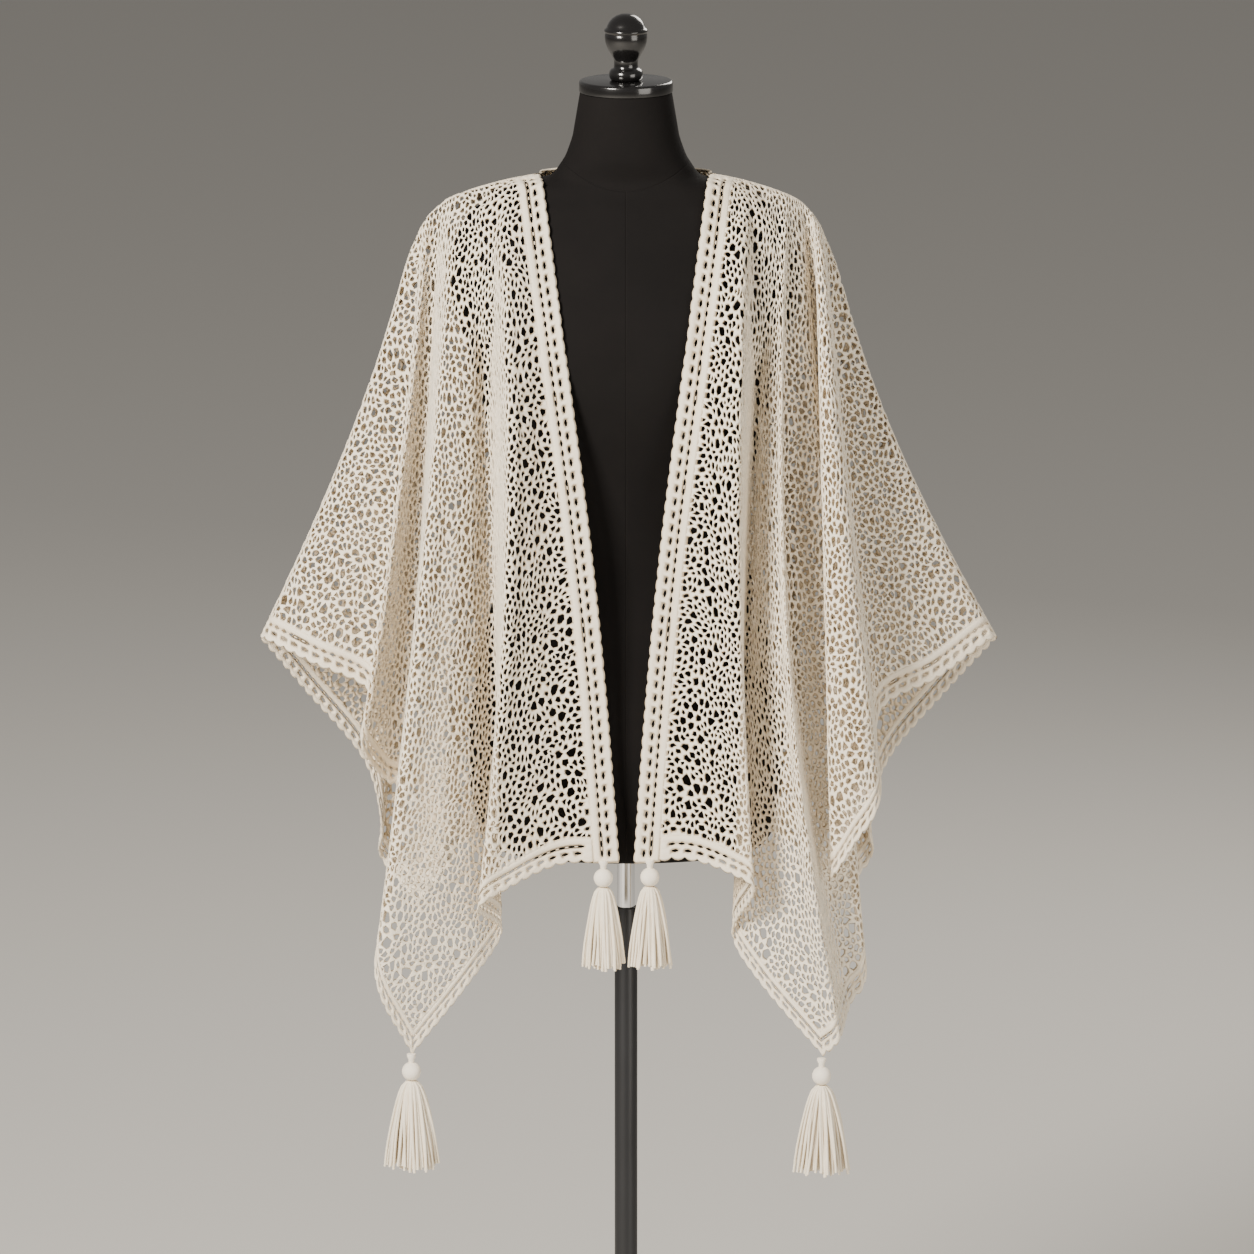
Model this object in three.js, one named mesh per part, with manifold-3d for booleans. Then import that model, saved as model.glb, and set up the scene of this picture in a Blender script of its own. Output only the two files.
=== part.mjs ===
// Lace shawl, an open-fronted ruana with four corner tassels, draped on a limbless dress form whose
// telescopic stand rises from a round base. Millimetres, +Z up. The front faces -Y and the wearer's left
// side is +X. The origin is the centre of the base plate's underside.
import * as THREE from 'three';
import Module from 'manifold-3d';
import { mergeVertices } from 'three/addons/utils/BufferGeometryUtils.js';

const wasm = await Module();
wasm.setup();

// Cloth
const CLOTH_WALL = 2;
const EDGING_WALL = 2.6;
const EDGING_WIDTH = 12;
const SEAM_GAP = 0.3;
const SHOULDER_PLANE_Y = 5;
const FORM_CLEARANCE = 4;
const LEVEL_AT_SHOULDER = 0.85;
const SHOULDER_ROUNDING = 12;
const BACK = 1;
const FRONT = -1;
const WEARERS_RIGHT = -1;
const WEARERS_LEFT = 1;

// Finishes
const CREAM_YARN = { color: 0xefe6d2, roughness: 0.9, metalness: 0 };
const BLACK_CLOTH = { color: 0x1f1d1d, roughness: 0.85, metalness: 0 };
const BLACK_GLOSS = { color: 0x0d0d0e, roughness: 0.15, metalness: 0 };
const BLACK_METAL = { color: 0x161616, roughness: 0.42, metalness: 0.6 };
const CHROME = { color: 0xc9ccd0, roughness: 0.2, metalness: 1 };

// The shoulder line that each front shares with the back, from the neck over the shoulder tip and down
// the upper arm. Heights are of the middle of the wall.
const SHOULDER_LINE = {
  [WEARERS_RIGHT]: [
    { x: -85, z: 1458.5 },
    { x: -123, z: 1451 },
    { x: -180, z: 1431 },
    { x: -200, z: 1410 },
    { x: -213, z: 1372 },
    { x: -226, z: 1333 },
  ],
  [WEARERS_LEFT]: [
    { x: 83, z: 1458.5 },
    { x: 119, z: 1451 },
    { x: 172, z: 1431 },
    { x: 191, z: 1409 },
    { x: 204, z: 1371 },
    { x: 216, z: 1333 },
  ],
};

// The back neckline, from the centre back to the neck end of the shoulder line.
const BACK_NECKLINE = [
  { x: 0, y: 68, z: 1455 },
  { x: 48, y: 60, z: 1455 },
  { x: 82, y: 36, z: 1456 },
];

// Each row is one fold line. It leaves the shoulder line at seam (mm from the neck) and ends at x, y, z, on
// the outer side of the edging along the hem and the side edge. bow is how far it bends sideways halfway
// down, and ease how soon it reaches its depth y: a high number falls straight down from the shoulder. A
// corner row breaks the curve.
const FRONT_FOLDS = {
  [WEARERS_RIGHT]: [
    { seam: 12, x: -18, y: -125, z: 787, bow: 10, ease: 7 },
    { seam: 22, x: -67, y: -128, z: 785, bow: 14, ease: 7 },
    { seam: 32, x: -117, y: -150, z: 766, bow: 18, ease: 6.5 },
    { seam: 41, x: -147, y: -160, z: 746, bow: 18, ease: 6 },
    { seam: 57, x: -124, y: -80, z: 704, bow: 0, ease: 6 },
    { seam: 67, x: -157, y: -108, z: 658, bow: 0, ease: 5 },
    { seam: 77, x: -213, y: -135, z: 593, bow: 0, ease: 4, corner: true },
    { seam: 87, x: -249, y: -150, z: 674, bow: 6, ease: 3 },
    { seam: 96, x: -233, y: -104, z: 756, bow: 2, ease: 2.5 },
    { seam: 105, x: -220, y: -36, z: 832, bow: 0, ease: 2 },
    { seam: 114, x: -241, y: -48, z: 853, bow: 2, ease: 1.8 },
    { seam: 123, x: -264, y: -85, z: 898, bow: 6, ease: 1.6 },
    { seam: 131, x: -256, y: -48, z: 943, bow: 4, ease: 1.4 },
    { seam: 139, x: -313, y: -38, z: 970, bow: 6, ease: 1.3 },
    { seam: 146, x: -356, y: -14, z: 987, bow: 9, ease: 1.1 },
    { seam: 152, x: -367, y: 5, z: 988, bow: 10, ease: 1 },
  ],
  [WEARERS_LEFT]: [
    { seam: 12, x: 19, y: -125, z: 787, bow: -10, ease: 7 },
    { seam: 21, x: 63, y: -128, z: 790, bow: -13, ease: 7 },
    { seam: 30, x: 105, y: -150, z: 780, bow: -14, ease: 6.5 },
    { seam: 39, x: 127, y: -160, z: 764, bow: -12, ease: 6 },
    { seam: 54, x: 106, y: -80, z: 702, bow: 0, ease: 6 },
    { seam: 63, x: 136, y: -108, z: 656, bow: -6, ease: 5 },
    { seam: 71, x: 196, y: -145, z: 594, bow: -20, ease: 4, corner: true },
    { seam: 78, x: 212, y: -156, z: 612, bow: -26, ease: 4 },
    { seam: 84, x: 224, y: -104, z: 636, bow: -32, ease: 5 },
    { seam: 90, x: 240, y: -92, z: 665, bow: 0, ease: 3 },
    { seam: 97, x: 225, y: -54, z: 752, bow: 0, ease: 2.5 },
    { seam: 103, x: 233, y: -50, z: 852, bow: 0, ease: 2 },
    { seam: 109, x: 238, y: -100, z: 852, bow: 0, ease: 2.5 },
    { seam: 115, x: 203, y: -128, z: 772, bow: 0, ease: 3.2 },
    { seam: 121, x: 226, y: -141, z: 808, bow: 0, ease: 3.2 },
    { seam: 127, x: 252, y: -132, z: 852, bow: 0, ease: 2.5 },
    { seam: 133, x: 252, y: -64, z: 925, bow: -4, ease: 1.6 },
    { seam: 139, x: 312, y: -40, z: 956, bow: -10, ease: 1.3 },
    { seam: 146, x: 361, y: -14, z: 987, bow: -14, ease: 1.1 },
    { seam: 152, x: 372, y: 5, z: 988, bow: -15, ease: 1 },
  ],
};

// One half of the back, from the centre to the side, for the wearer's left. The other half mirrors it and
// each half ends on the last fold line of its own front. A seam below 0 lies on the back neckline.
const BACK_FOLDS = [
  { seam: -117, x: 0, y: 126, z: 792, bow: 0, ease: 7 },
  { seam: -78, x: 34, y: 134, z: 792, bow: 0, ease: 7 },
  { seam: -38, x: 66, y: 146, z: 790, bow: 0, ease: 7 },
  { seam: 0, x: 96, y: 132, z: 787, bow: 0, ease: 7 },
  { seam: 20, x: 116, y: 100, z: 782, bow: 0, ease: 6.5 },
  { seam: 38, x: 142, y: 140, z: 762, bow: 0, ease: 6 },
  { seam: 53, x: 172, y: 152, z: 738, bow: 0, ease: 5.5 },
  { seam: 66, x: 186, y: 106, z: 722, bow: 0, ease: 5 },
  { seam: 80, x: 212, y: 122, z: 684, bow: 0, ease: 4, corner: true },
  { seam: 94, x: 250, y: 134, z: 730, bow: 0, ease: 3 },
  { seam: 107, x: 247, y: 74, z: 774, bow: 0, ease: 2 },
  { seam: 122, x: 264, y: 60, z: 848, bow: -3, ease: 1.5 },
  { seam: 138, x: 322, y: 34, z: 926, bow: -6, ease: 1.2 },
];

// Rows of the cloth's mesh. at is the fraction of the way down, and columns the facets between two folds.
const FRONT_ROWS = [
  { at: 0, columns: 1 },
  { at: 0.016, columns: 1 },
  { at: 0.036, columns: 1 },
  { at: 0.062, columns: 1 },
  { at: 0.093, columns: 1 },
  { at: 0.127, columns: 1 },
  { at: 0.162, columns: 1 },
  { at: 0.2, columns: 2 },
  { at: 0.26, columns: 2 },
  { at: 0.32, columns: 2 },
  { at: 0.38, columns: 2 },
  { at: 0.45, columns: 2 },
  { at: 0.52, columns: 2 },
  { at: 0.6, columns: 2 },
  { at: 0.7, columns: 2 },
  { at: 0.8, columns: 2 },
  { at: 0.9, columns: 2 },
  { at: 1, columns: 2 },
];
const BACK_ROWS = FRONT_ROWS.filter(({ at }) => ![0.32, 0.45, 0.6].includes(at));

// Lace holes over 4 mm. In the band of rows from first to last, one cell in every few has a hole of this
// width and height, the largest on the yoke.
const LACE_HOLES = [
  { first: 1, last: 6, every: 2, skip: 1, width: 7.5, height: 13 },
  { first: 7, last: 12, every: 4, skip: 2, width: 8, height: 13 },
  { first: 13, last: 16, every: 4, skip: 2, width: 9, height: 14 },
];
const HOLE_MARGIN = 0.16;

// Dress form: its sections from the hem of the torso to the neck, with the half width and the depth to
// the front and to the back of the centre.
const FORM_SECTIONS = [
  { z: 777, halfWidth: 136, front: 90, back: 93 },
  { z: 792, halfWidth: 147, front: 98, back: 101 },
  { z: 850, halfWidth: 157, front: 105, back: 112 },
  { z: 920, halfWidth: 155, front: 102, back: 111 },
  { z: 1000, halfWidth: 140, front: 93, back: 97 },
  { z: 1080, halfWidth: 121, front: 86, back: 83 },
  { z: 1150, halfWidth: 125, front: 92, back: 84 },
  { z: 1220, halfWidth: 140, front: 106, back: 91 },
  { z: 1290, halfWidth: 158, front: 114, back: 97 },
  { z: 1335, halfWidth: 172, front: 104, back: 97 },
  { z: 1368, halfWidth: 172, front: 85, back: 87 },
  { z: 1391, halfWidth: 170, front: 73, back: 77 },
  { z: 1409, halfWidth: 161, front: 65, back: 69 },
  { z: 1421, halfWidth: 153, front: 59, back: 63 },
  { z: 1431, halfWidth: 141, front: 54, back: 58 },
  { z: 1440, halfWidth: 126, front: 48, back: 53 },
  { z: 1449, halfWidth: 107, front: 43, back: 49 },
  { z: 1456, halfWidth: 77, front: 41, back: 46 },
  { z: 1463, halfWidth: 69, front: 42, back: 46 },
  { z: 1477, halfWidth: 60, front: 45, back: 47 },
  { z: 1496, halfWidth: 53, front: 46, back: 48 },
  { z: 1541, halfWidth: 45.5, front: 44.5, back: 44.5 },
];
const FORM_SIDES = 24;
const FORM_ROUNDNESS = 2.15;

// The disc that closes the neck and the finial on it: pairs of radius and height above the piece's underside.
const CAP_PROFILE = [[0, 0], [46.5, 0], [46.5, 9.5], [44.5, 11.5], [0, 11.5]];
const CAP_HEIGHT = 11.5;
const FINIAL_PROFILE = [
  [0, 0], [14.5, 0], [16.7, 4], [16.7, 8], [12, 13], [12, 20], [17, 29], [20.8, 39], [21, 44], [20, 47],
  [21.4, 49], [19, 53], [13, 62], [0, 66],
];

// Stand
const BASE_RADIUS = 165;
const BASE_THICKNESS = 12;
const BASE_CHAMFER = 3;
const SOCKET_RADIUS = 26;
const SOCKET_TOP_RADIUS = 18;
const SOCKET_HEIGHT = 34;
const OUTER_TUBE_RADIUS = 11.5;
const OUTER_TUBE_TOP = 713;
const INNER_TUBE_RADIUS = 9;
const TUBE_CLEARANCE = 0.3;
const INNER_TUBE_BOTTOM = 430;
const ROUND_SIDES = 28;
const SLIM_SIDES = 20;

// Tassels, one under each lower corner of the two fronts. The inner pair hangs a little way along the hem
// and its skirts are slimmer.
const BEAD_RADIUS = 9.5;
const BEAD_STEPS = 4;
const CORD_RADIUS = 2;
const CORD_LENGTH = 7;
const TASSEL_SIDES = 9;
const TASSEL_CORE = [[0, 0], [6.3, -1.5], [10.5, -7], [10.5, -17], [0, -17]];
const INNER_TASSEL_ALONG_HEM = 0.4;
const INNER_TASSEL = { length: 82, spread: 0.76 };
const OUTER_TASSEL = { length: 89, spread: 1 };
const STRAND_RINGS = [
  { strands: 12, root: 8.6, spread: 26, turn: Math.PI / 12 },
  { strands: 6, root: 4.2, spread: 15, turn: 0.4 },
];
const STRAND_SIDES = 3;
const STRAND_RADIUS = 1.6;
const STRAND_ROOT_DEPTH = 9;
const STRAND_STATIONS = [0, 0.4, 1];
const STRAND_FLARE = 1.25;

// A point on a smooth curve through one column of a table, at a fractional row.
function valueAt(rows, key, at) {
  const row = Math.min(Math.floor(at), rows.length - 2);
  const part = at - row;
  const from = rows[row][key];
  const to = rows[row + 1][key];
  const startsCurve = row === 0 || rows[row].corner;
  const endsCurve = row === rows.length - 2 || rows[row + 1].corner;
  const before = startsCurve ? 2 * from - to : rows[row - 1][key];
  const after = endsCurve ? 2 * to - from : rows[row + 2][key];
  const leave = (to - before) / 2;
  const arrive = (after - from) / 2;
  const blend = part * part * (3 - 2 * part);
  const slopes = leave * part * (1 - part) ** 2 - arrive * part * part * (1 - part);
  return from + (to - from) * blend + slopes;
}

function indexedGeometry(points, faces) {
  const geometry = new THREE.BufferGeometry();
  const positions = points.flatMap((point) => [point.x, point.y, point.z]);
  geometry.setAttribute('position', new THREE.Float32BufferAttribute(positions, 3));
  geometry.setIndex(faces.flat());
  return geometry;
}

// The form's section at a height, as a fractional row of FORM_SECTIONS.
function formSection(z) {
  const last = FORM_SECTIONS.length - 1;
  const above = FORM_SECTIONS.findIndex((section) => section.z > z);
  if (z <= FORM_SECTIONS[0].z) return FORM_SECTIONS[0];
  if (above < 0) return FORM_SECTIONS[last];
  const low = FORM_SECTIONS[above - 1];
  const at = above - 1 + (z - low.z) / (FORM_SECTIONS[above].z - low.z);
  return {
    halfWidth: valueAt(FORM_SECTIONS, 'halfWidth', at),
    front: valueAt(FORM_SECTIONS, 'front', at),
    back: valueAt(FORM_SECTIONS, 'back', at),
  };
}

// 0 on the form's surface, below 0 inside it and above 0 outside.
function formLevel(x, y, z) {
  const section = formSection(z);
  const depth = y < 0 ? section.front : section.back;
  const across = Math.abs(x / section.halfWidth) ** FORM_ROUNDNESS;
  const deep = Math.abs(y / depth) ** FORM_ROUNDNESS;
  return (across + deep) ** (1 / FORM_ROUNDNESS) - 1;
}

// Moves a point of the cloth out of the form, in the plane across the shoulder only, so that the cloth
// keeps its width from the front.
function liftOffForm(point, clearance) {
  const step = 0.5;
  const longestMove = 2;
  const tries = 60;
  for (let turn = 0; turn < tries; turn += 1) {
    const level = formLevel(point.x, point.y, point.z);
    const slopeY = (formLevel(point.x, point.y + step, point.z) - level) / step;
    const slopeZ = (formLevel(point.x, point.y, point.z + step) - level) / step;
    const slope = Math.hypot(slopeY, slopeZ);
    const short = Math.min(clearance - level / slope, longestMove);
    if (short < 0.01) return point;
    point.y += (short * slopeY) / slope / 2;
    point.z += (short * slopeZ) / slope / 2;
  }
  return point;
}

function shoulderPlanePoint({ x, z }) {
  return new THREE.Vector3(x, SHOULDER_PLANE_Y, z);
}

function shoulderCurves(side) {
  const shoulder = SHOULDER_LINE[side].map(shoulderPlanePoint);
  const neckline = BACK_NECKLINE.map(({ x, y, z }) => new THREE.Vector3(side * x, y, z));
  return {
    shoulder: new THREE.CatmullRomCurve3(shoulder),
    neckline: new THREE.CatmullRomCurve3([shoulder[0], ...neckline.reverse()]),
  };
}

// One drape: a fan of fold lines from the shoulder line to the hem. facing is FRONT or BACK.
function makeDrape(side, facing, folds) {
  const curves = shoulderCurves(side);
  const shoulderLength = curves.shoulder.getLength();
  const necklineLength = curves.neckline.getLength();
  const tightClearance = 2.6;
  const tightUntil = 0.07;
  const last = folds.length - 1;

  function topPoint(seam) {
    if (seam >= 0) return curves.shoulder.getPointAt(Math.min(1, seam / shoulderLength));
    return curves.neckline.getPointAt(Math.min(1, -seam / necklineLength));
  }

  function pointAt(fold, part) {
    const top = topPoint(valueAt(folds, 'seam', fold));
    const length = Math.hypot(valueAt(folds, 'x', fold) - top.x, valueAt(folds, 'z', fold) - top.z);
    const at = part * (1 - EDGING_WIDTH / length);
    const fallen = 1 - (1 - at) ** valueAt(folds, 'ease', fold);
    const sideways = valueAt(folds, 'bow', fold) * Math.sin(Math.PI * at);
    const overShoulder = LEVEL_AT_SHOULDER * at * (1 - at) ** SHOULDER_ROUNDING;
    const point = new THREE.Vector3(
      top.x + (valueAt(folds, 'x', fold) - top.x) * at + sideways,
      top.y + (valueAt(folds, 'y', fold) - top.y) * fallen,
      top.z + (valueAt(folds, 'z', fold) - top.z) * (at - overShoulder),
    );
    if (at === 0) return point;
    const clearance = THREE.MathUtils.lerp(tightClearance, FORM_CLEARANCE, Math.min(1, at / tightUntil));
    return liftOffForm(point, clearance);
  }

  function onShoulder(fold, at) {
    return fold === last || (at === 0 && valueAt(folds, 'seam', fold) >= 0);
  }

  return { pointAt, onShoulder, last };
}

// Keeps a point of the front or the back on its own side of the plane through the shoulder line.
function keepToSide(point, facing) {
  const limit = SHOULDER_PLANE_Y + (facing * SEAM_GAP) / 2;
  if ((point.y - limit) * facing < 0) point.y = limit;
  return point;
}

function foldPositions(start, end, columns) {
  const count = Math.round(Math.abs(end - start) * columns);
  return Array.from({ length: count + 1 }, (_, index) => start + ((end - start) * index) / count);
}

// Vertices of a panel's middle surface, row by row, and the rows as lists of vertex numbers.
function panelGrid(panel, rowTable) {
  const vertices = [];
  const rows = rowTable.map(({ at, columns }) => {
    const positions = foldPositions(panel.start, panel.end, columns);
    return positions.map((fold) => {
      const point = keepToSide(panel.pointAt(fold, at), panel.facing);
      vertices.push({ point, fold, onShoulder: panel.onShoulder(fold, at) });
      return vertices.length - 1;
    });
  });
  return { vertices, rows };
}

// Triangles between two rows, which may have different numbers of vertices.
function facesBetween(upper, lower, vertices) {
  const faces = [];
  const way = Math.sign(vertices[upper.at(-1)].fold - vertices[upper[0]].fold);
  const foldOf = (row, index) => (index < row.length ? way * vertices[row[index]].fold : Infinity);
  let above = 0;
  let below = 0;
  while (above < upper.length - 1 || below < lower.length - 1) {
    if (foldOf(upper, above + 1) <= foldOf(lower, below + 1)) {
      faces.push([upper[above], upper[above + 1], lower[below]]);
      above += 1;
    } else {
      faces.push([upper[above], lower[below + 1], lower[below]]);
      below += 1;
    }
  }
  return faces;
}

// Gives every vertex its outward normal, weighted by the corner angles of the faces round it, and the mitred
// half thickness of the wall. On the shoulder line the wall stands in the shoulder plane, so that the front
// and the back meet there face to face.
function addOffsets({ vertices, rows }) {
  const longestMitre = 2;
  const faces = rows.slice(1).flatMap((row, index) => facesBetween(rows[index], row, vertices));
  vertices.forEach((vertex) => {
    vertex.normal = new THREE.Vector3();
    vertex.faceNormals = [];
  });
  faces.forEach((face) => {
    const corners = face.map((index) => vertices[index]);
    const [a, b, c] = corners.map(({ point }) => point);
    const faceNormal = b.clone().sub(a).cross(c.clone().sub(a)).normalize();
    corners.forEach((corner, index) => {
      const toNext = corners[(index + 1) % 3].point.clone().sub(corner.point);
      const toLast = corners[(index + 2) % 3].point.clone().sub(corner.point);
      corner.normal.addScaledVector(faceNormal, toNext.angleTo(toLast));
      corner.faceNormals.push(faceNormal);
    });
  });
  vertices.forEach((vertex) => {
    vertex.normal.normalize();
    const flattest = Math.min(...vertex.faceNormals.map((faceNormal) => faceNormal.dot(vertex.normal)));
    const mitre = Math.min(longestMitre, 1 / Math.max(flattest, 1 / longestMitre));
    const across = vertex.normal.clone();
    if (vertex.onShoulder) across.setY(0).normalize();
    vertex.offset = across.multiplyScalar((CLOTH_WALL / 2) * (vertex.onShoulder ? 1 : mitre));
  });
}

// A cell's corners and the corners of its hole, across and down.
const CELL_CORNERS = [[0, 0], [1, 0], [1, 1], [0, 1]];
const HOLE_CORNERS = [[0.15, -1], [1, -0.1], [-0.15, 1], [-1, 0.1]];

function acrossCell(corners, key, at) {
  const top = corners[0][key].clone().lerp(corners[1][key], at.x);
  const bottom = corners[3][key].clone().lerp(corners[2][key], at.x);
  return top.lerp(bottom, at.y);
}

// A cell of the cloth with a lace hole in its middle. Adds the hole's vertices and returns the faces.
function facesRoundHole(cell, vertices, hole) {
  const corners = cell.map((index) => vertices[index]);
  const cellWidth = corners[3].point.distanceTo(corners[2].point) / 2
    + corners[0].point.distanceTo(corners[1].point) / 2;
  const cellHeight = corners[0].point.distanceTo(corners[3].point);
  const widest = 0.5 - HOLE_MARGIN;
  const halfWidth = Math.min(hole.width / 2 / cellWidth, widest);
  const halfHeight = Math.min(hole.height / 2 / cellHeight, widest);
  const cellOutline = CELL_CORNERS.map(([across, down]) => new THREE.Vector2(across, down));
  const outline = HOLE_CORNERS.map(([across, down]) => {
    return new THREE.Vector2(0.5 + across * halfWidth, 0.5 + down * halfHeight);
  });
  const numbers = [...cell, ...outline.map((_, index) => vertices.length + index)];
  outline.forEach((at) => {
    vertices.push({ point: acrossCell(corners, 'point', at), offset: acrossCell(corners, 'offset', at) });
  });
  const flat = [...cellOutline, ...outline];
  return THREE.ShapeUtils.triangulateShape(cellOutline, [outline]).map(([a, b, c]) => {
    const turn = flat[b].clone().sub(flat[a]).cross(flat[c].clone().sub(flat[a]));
    return turn > 0 ? [numbers[a], numbers[b], numbers[c]] : [numbers[a], numbers[c], numbers[b]];
  });
}

function holeInCell(row, column, columns) {
  const margin = 1;
  if (column < margin || column >= columns - margin) return undefined;
  return LACE_HOLES.find(({ first, last, every, skip }) => {
    return row >= first && row <= last && (column + skip * row) % every === 0;
  });
}

function isFlat(cell, vertices) {
  const leastAgreement = 0.8;
  const normals = cell.map((index) => vertices[index].normal);
  return normals.every((normal, index) => normal.dot(normals[(index + 1) % 4]) > leastAgreement)
    && normals[0].dot(normals[2]) > leastAgreement;
}

// The cloth's faces on one side, with a hole in the chosen cells.
function laceFaces({ vertices, rows }) {
  const faces = [];
  for (let row = 0; row < rows.length - 1; row += 1) {
    const upper = rows[row];
    const lower = rows[row + 1];
    if (upper.length !== lower.length) {
      faces.push(...facesBetween(upper, lower, vertices));
      continue;
    }
    for (let column = 0; column < upper.length - 1; column += 1) {
      const cell = [upper[column], upper[column + 1], lower[column + 1], lower[column]];
      const hole = holeInCell(row, column, upper.length - 1);
      if (hole && isFlat(cell, vertices)) faces.push(...facesRoundHole(cell, vertices, hole));
      else faces.push([cell[0], cell[1], cell[3]], [cell[1], cell[2], cell[3]]);
    }
  }
  return faces;
}

// Makes a closed wall of faces: the outer side, the inner side and a rim along every open edge.
function thicken(vertices, faces, facing) {
  const count = vertices.length;
  const outer = vertices.map(({ point, offset }) => keepToSide(point.clone().add(offset), facing));
  const inner = vertices.map(({ point, offset }) => keepToSide(point.clone().sub(offset), facing));
  const edges = new Set(faces.flatMap(([a, b, c]) => [`${a} ${b}`, `${b} ${c}`, `${c} ${a}`]));
  const rims = [];
  edges.forEach((edge) => {
    const [from, to] = edge.split(' ').map(Number);
    if (edges.has(`${to} ${from}`)) return;
    rims.push([to, from, from + count], [to, from + count, to + count]);
  });
  const innerFaces = faces.map(([a, b, c]) => [a + count, c + count, b + count]);
  return indexedGeometry([...outer, ...inner], [...faces, ...innerFaces, ...rims]);
}

// Stations along an edge of the cloth. The path runs with the cloth on its left, seen from outside. At each
// one, outward is the way out of the cloth in its own surface, across is through the wall, and gap is the
// clearance to the cloth, which is wider where a fold turns tightly.
function edgeStations(path) {
  const sharpest = 1.6;
  const tightFoldGap = 2.6;
  const last = path.length - 1;
  const acrosses = path.map(({ normal, onShoulder }) => {
    return onShoulder ? normal.clone().setY(0).normalize() : normal.clone();
  });
  return path.map(({ point, normal, fold }, index) => {
    const before = path[Math.max(index - 1, 0)].point;
    const after = path[Math.min(index + 1, last)].point;
    const arriving = index === 0 ? after.clone().sub(point) : point.clone().sub(before);
    const leaving = index === last ? point.clone().sub(before) : after.clone().sub(point);
    const outFirst = arriving.cross(normal).normalize();
    const outSecond = leaving.cross(normal).normalize();
    const stretch = Math.min(sharpest, 2 / (1 + outFirst.dot(outSecond))) / 2;
    const outward = outFirst.add(outSecond).multiplyScalar(stretch);
    const across = acrosses[index];
    const neighbours = acrosses.slice(Math.max(index - 1, 0), index + 2);
    const straightest = Math.min(...neighbours.map((other) => other.dot(across)));
    return { point, outward, across, fold, gap: SEAM_GAP + tightFoldGap * (1 - straightest) };
  });
}

// A flat strip sewn along an edge of the cloth, which stands out from it in the cloth's own surface.
function edgingStrip(stations, facing) {
  const half = EDGING_WALL / 2;
  const corners = stations.flatMap(({ point, outward, across, gap }) => {
    return [[gap, half], [EDGING_WIDTH, half], [EDGING_WIDTH, -half], [gap, -half]].map(([out, up]) => {
      const corner = point.clone().addScaledVector(outward, out).addScaledVector(across, up);
      return keepToSide(corner, facing);
    });
  });
  return sweptGeometry(corners, 4);
}

// A closed solid through rings of corners, each ring with the same number of sides. Opposite sides are cut
// along the same diagonal, so that a thin strip can twist without its two faces crossing.
function sweptGeometry(corners, sides) {
  const rings = corners.length / sides;
  const faces = [];
  for (let ring = 0; ring < rings - 1; ring += 1) {
    for (let side = 0; side < sides; side += 1) {
      const here = ring * sides + side;
      const next = ring * sides + ((side + 1) % sides);
      if (side < sides / 2) faces.push([here, next, here + sides], [next, next + sides, here + sides]);
      else faces.push([here, next, next + sides], [here, next + sides, here + sides]);
    }
  }
  for (let side = 1; side < sides - 1; side += 1) {
    faces.push([0, side + 1, side]);
    faces.push([corners.length - sides, corners.length - sides + side, corners.length - sides + side + 1]);
  }
  return orientOutward(indexedGeometry(corners, faces));
}

function signedVolume(geometry) {
  const positions = geometry.getAttribute('position');
  const index = geometry.getIndex();
  const [a, b, c] = [new THREE.Vector3(), new THREE.Vector3(), new THREE.Vector3()];
  let volume = 0;
  for (let start = 0; start < index.count; start += 3) {
    a.fromBufferAttribute(positions, index.getX(start));
    b.fromBufferAttribute(positions, index.getX(start + 1));
    c.fromBufferAttribute(positions, index.getX(start + 2));
    volume += a.dot(b.cross(c));
  }
  return volume;
}

function orientOutward(geometry) {
  const index = geometry.getIndex();
  if (signedVolume(geometry) > 0) return geometry;
  for (let start = 0; start < index.count; start += 3) {
    const second = index.getX(start + 1);
    index.setX(start + 1, index.getX(start + 2));
    index.setX(start + 2, second);
  }
  return geometry;
}

const part = new THREE.Group();

function addPiece(name, geometry, finish) {
  const mesh = new THREE.Mesh(geometry, new THREE.MeshStandardMaterial(finish));
  mesh.name = name;
  part.add(mesh);
  return mesh;
}

function addPanel(name, panel, rowTable) {
  const grid = panelGrid(panel, rowTable);
  addOffsets(grid);
  addPiece(`${name}_lace`, thicken(grid.vertices, laceFaces(grid), panel.facing), CREAM_YARN);
  return grid.rows.map((row) => row.map((index) => grid.vertices[index]));
}

function addEdging(name, path, facing) {
  const stations = edgeStations(path);
  addPiece(name, edgingStrip(stations, facing), CREAM_YARN);
  return stations;
}

function rimPoint({ point, outward }) {
  return point.clone().addScaledVector(outward, EDGING_WIDTH);
}

// One strand of a tassel: a thin tube through three stations, from its root inside the core.
function strandGeometry(ring, angle, { length, spread }) {
  const corners = STRAND_STATIONS.flatMap((down) => {
    const radius = ring.root + (ring.spread * spread - ring.root) * down ** STRAND_FLARE;
    const height = -STRAND_ROOT_DEPTH - (length - STRAND_ROOT_DEPTH) * down;
    return Array.from({ length: STRAND_SIDES }, (_, side) => {
      const turn = angle + (2 * Math.PI * side) / STRAND_SIDES;
      return new THREE.Vector3(
        radius * Math.cos(angle) + STRAND_RADIUS * Math.cos(turn),
        radius * Math.sin(angle) + STRAND_RADIUS * Math.sin(turn),
        height,
      );
    });
  });
  return sweptGeometry(corners, STRAND_SIDES);
}

function solidOf(geometry) {
  return new wasm.Manifold(new wasm.Mesh({
    numProp: 3,
    vertProperties: new Float32Array(geometry.getAttribute('position').array),
    triVerts: new Uint32Array(geometry.getIndex().array),
  }));
}

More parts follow.
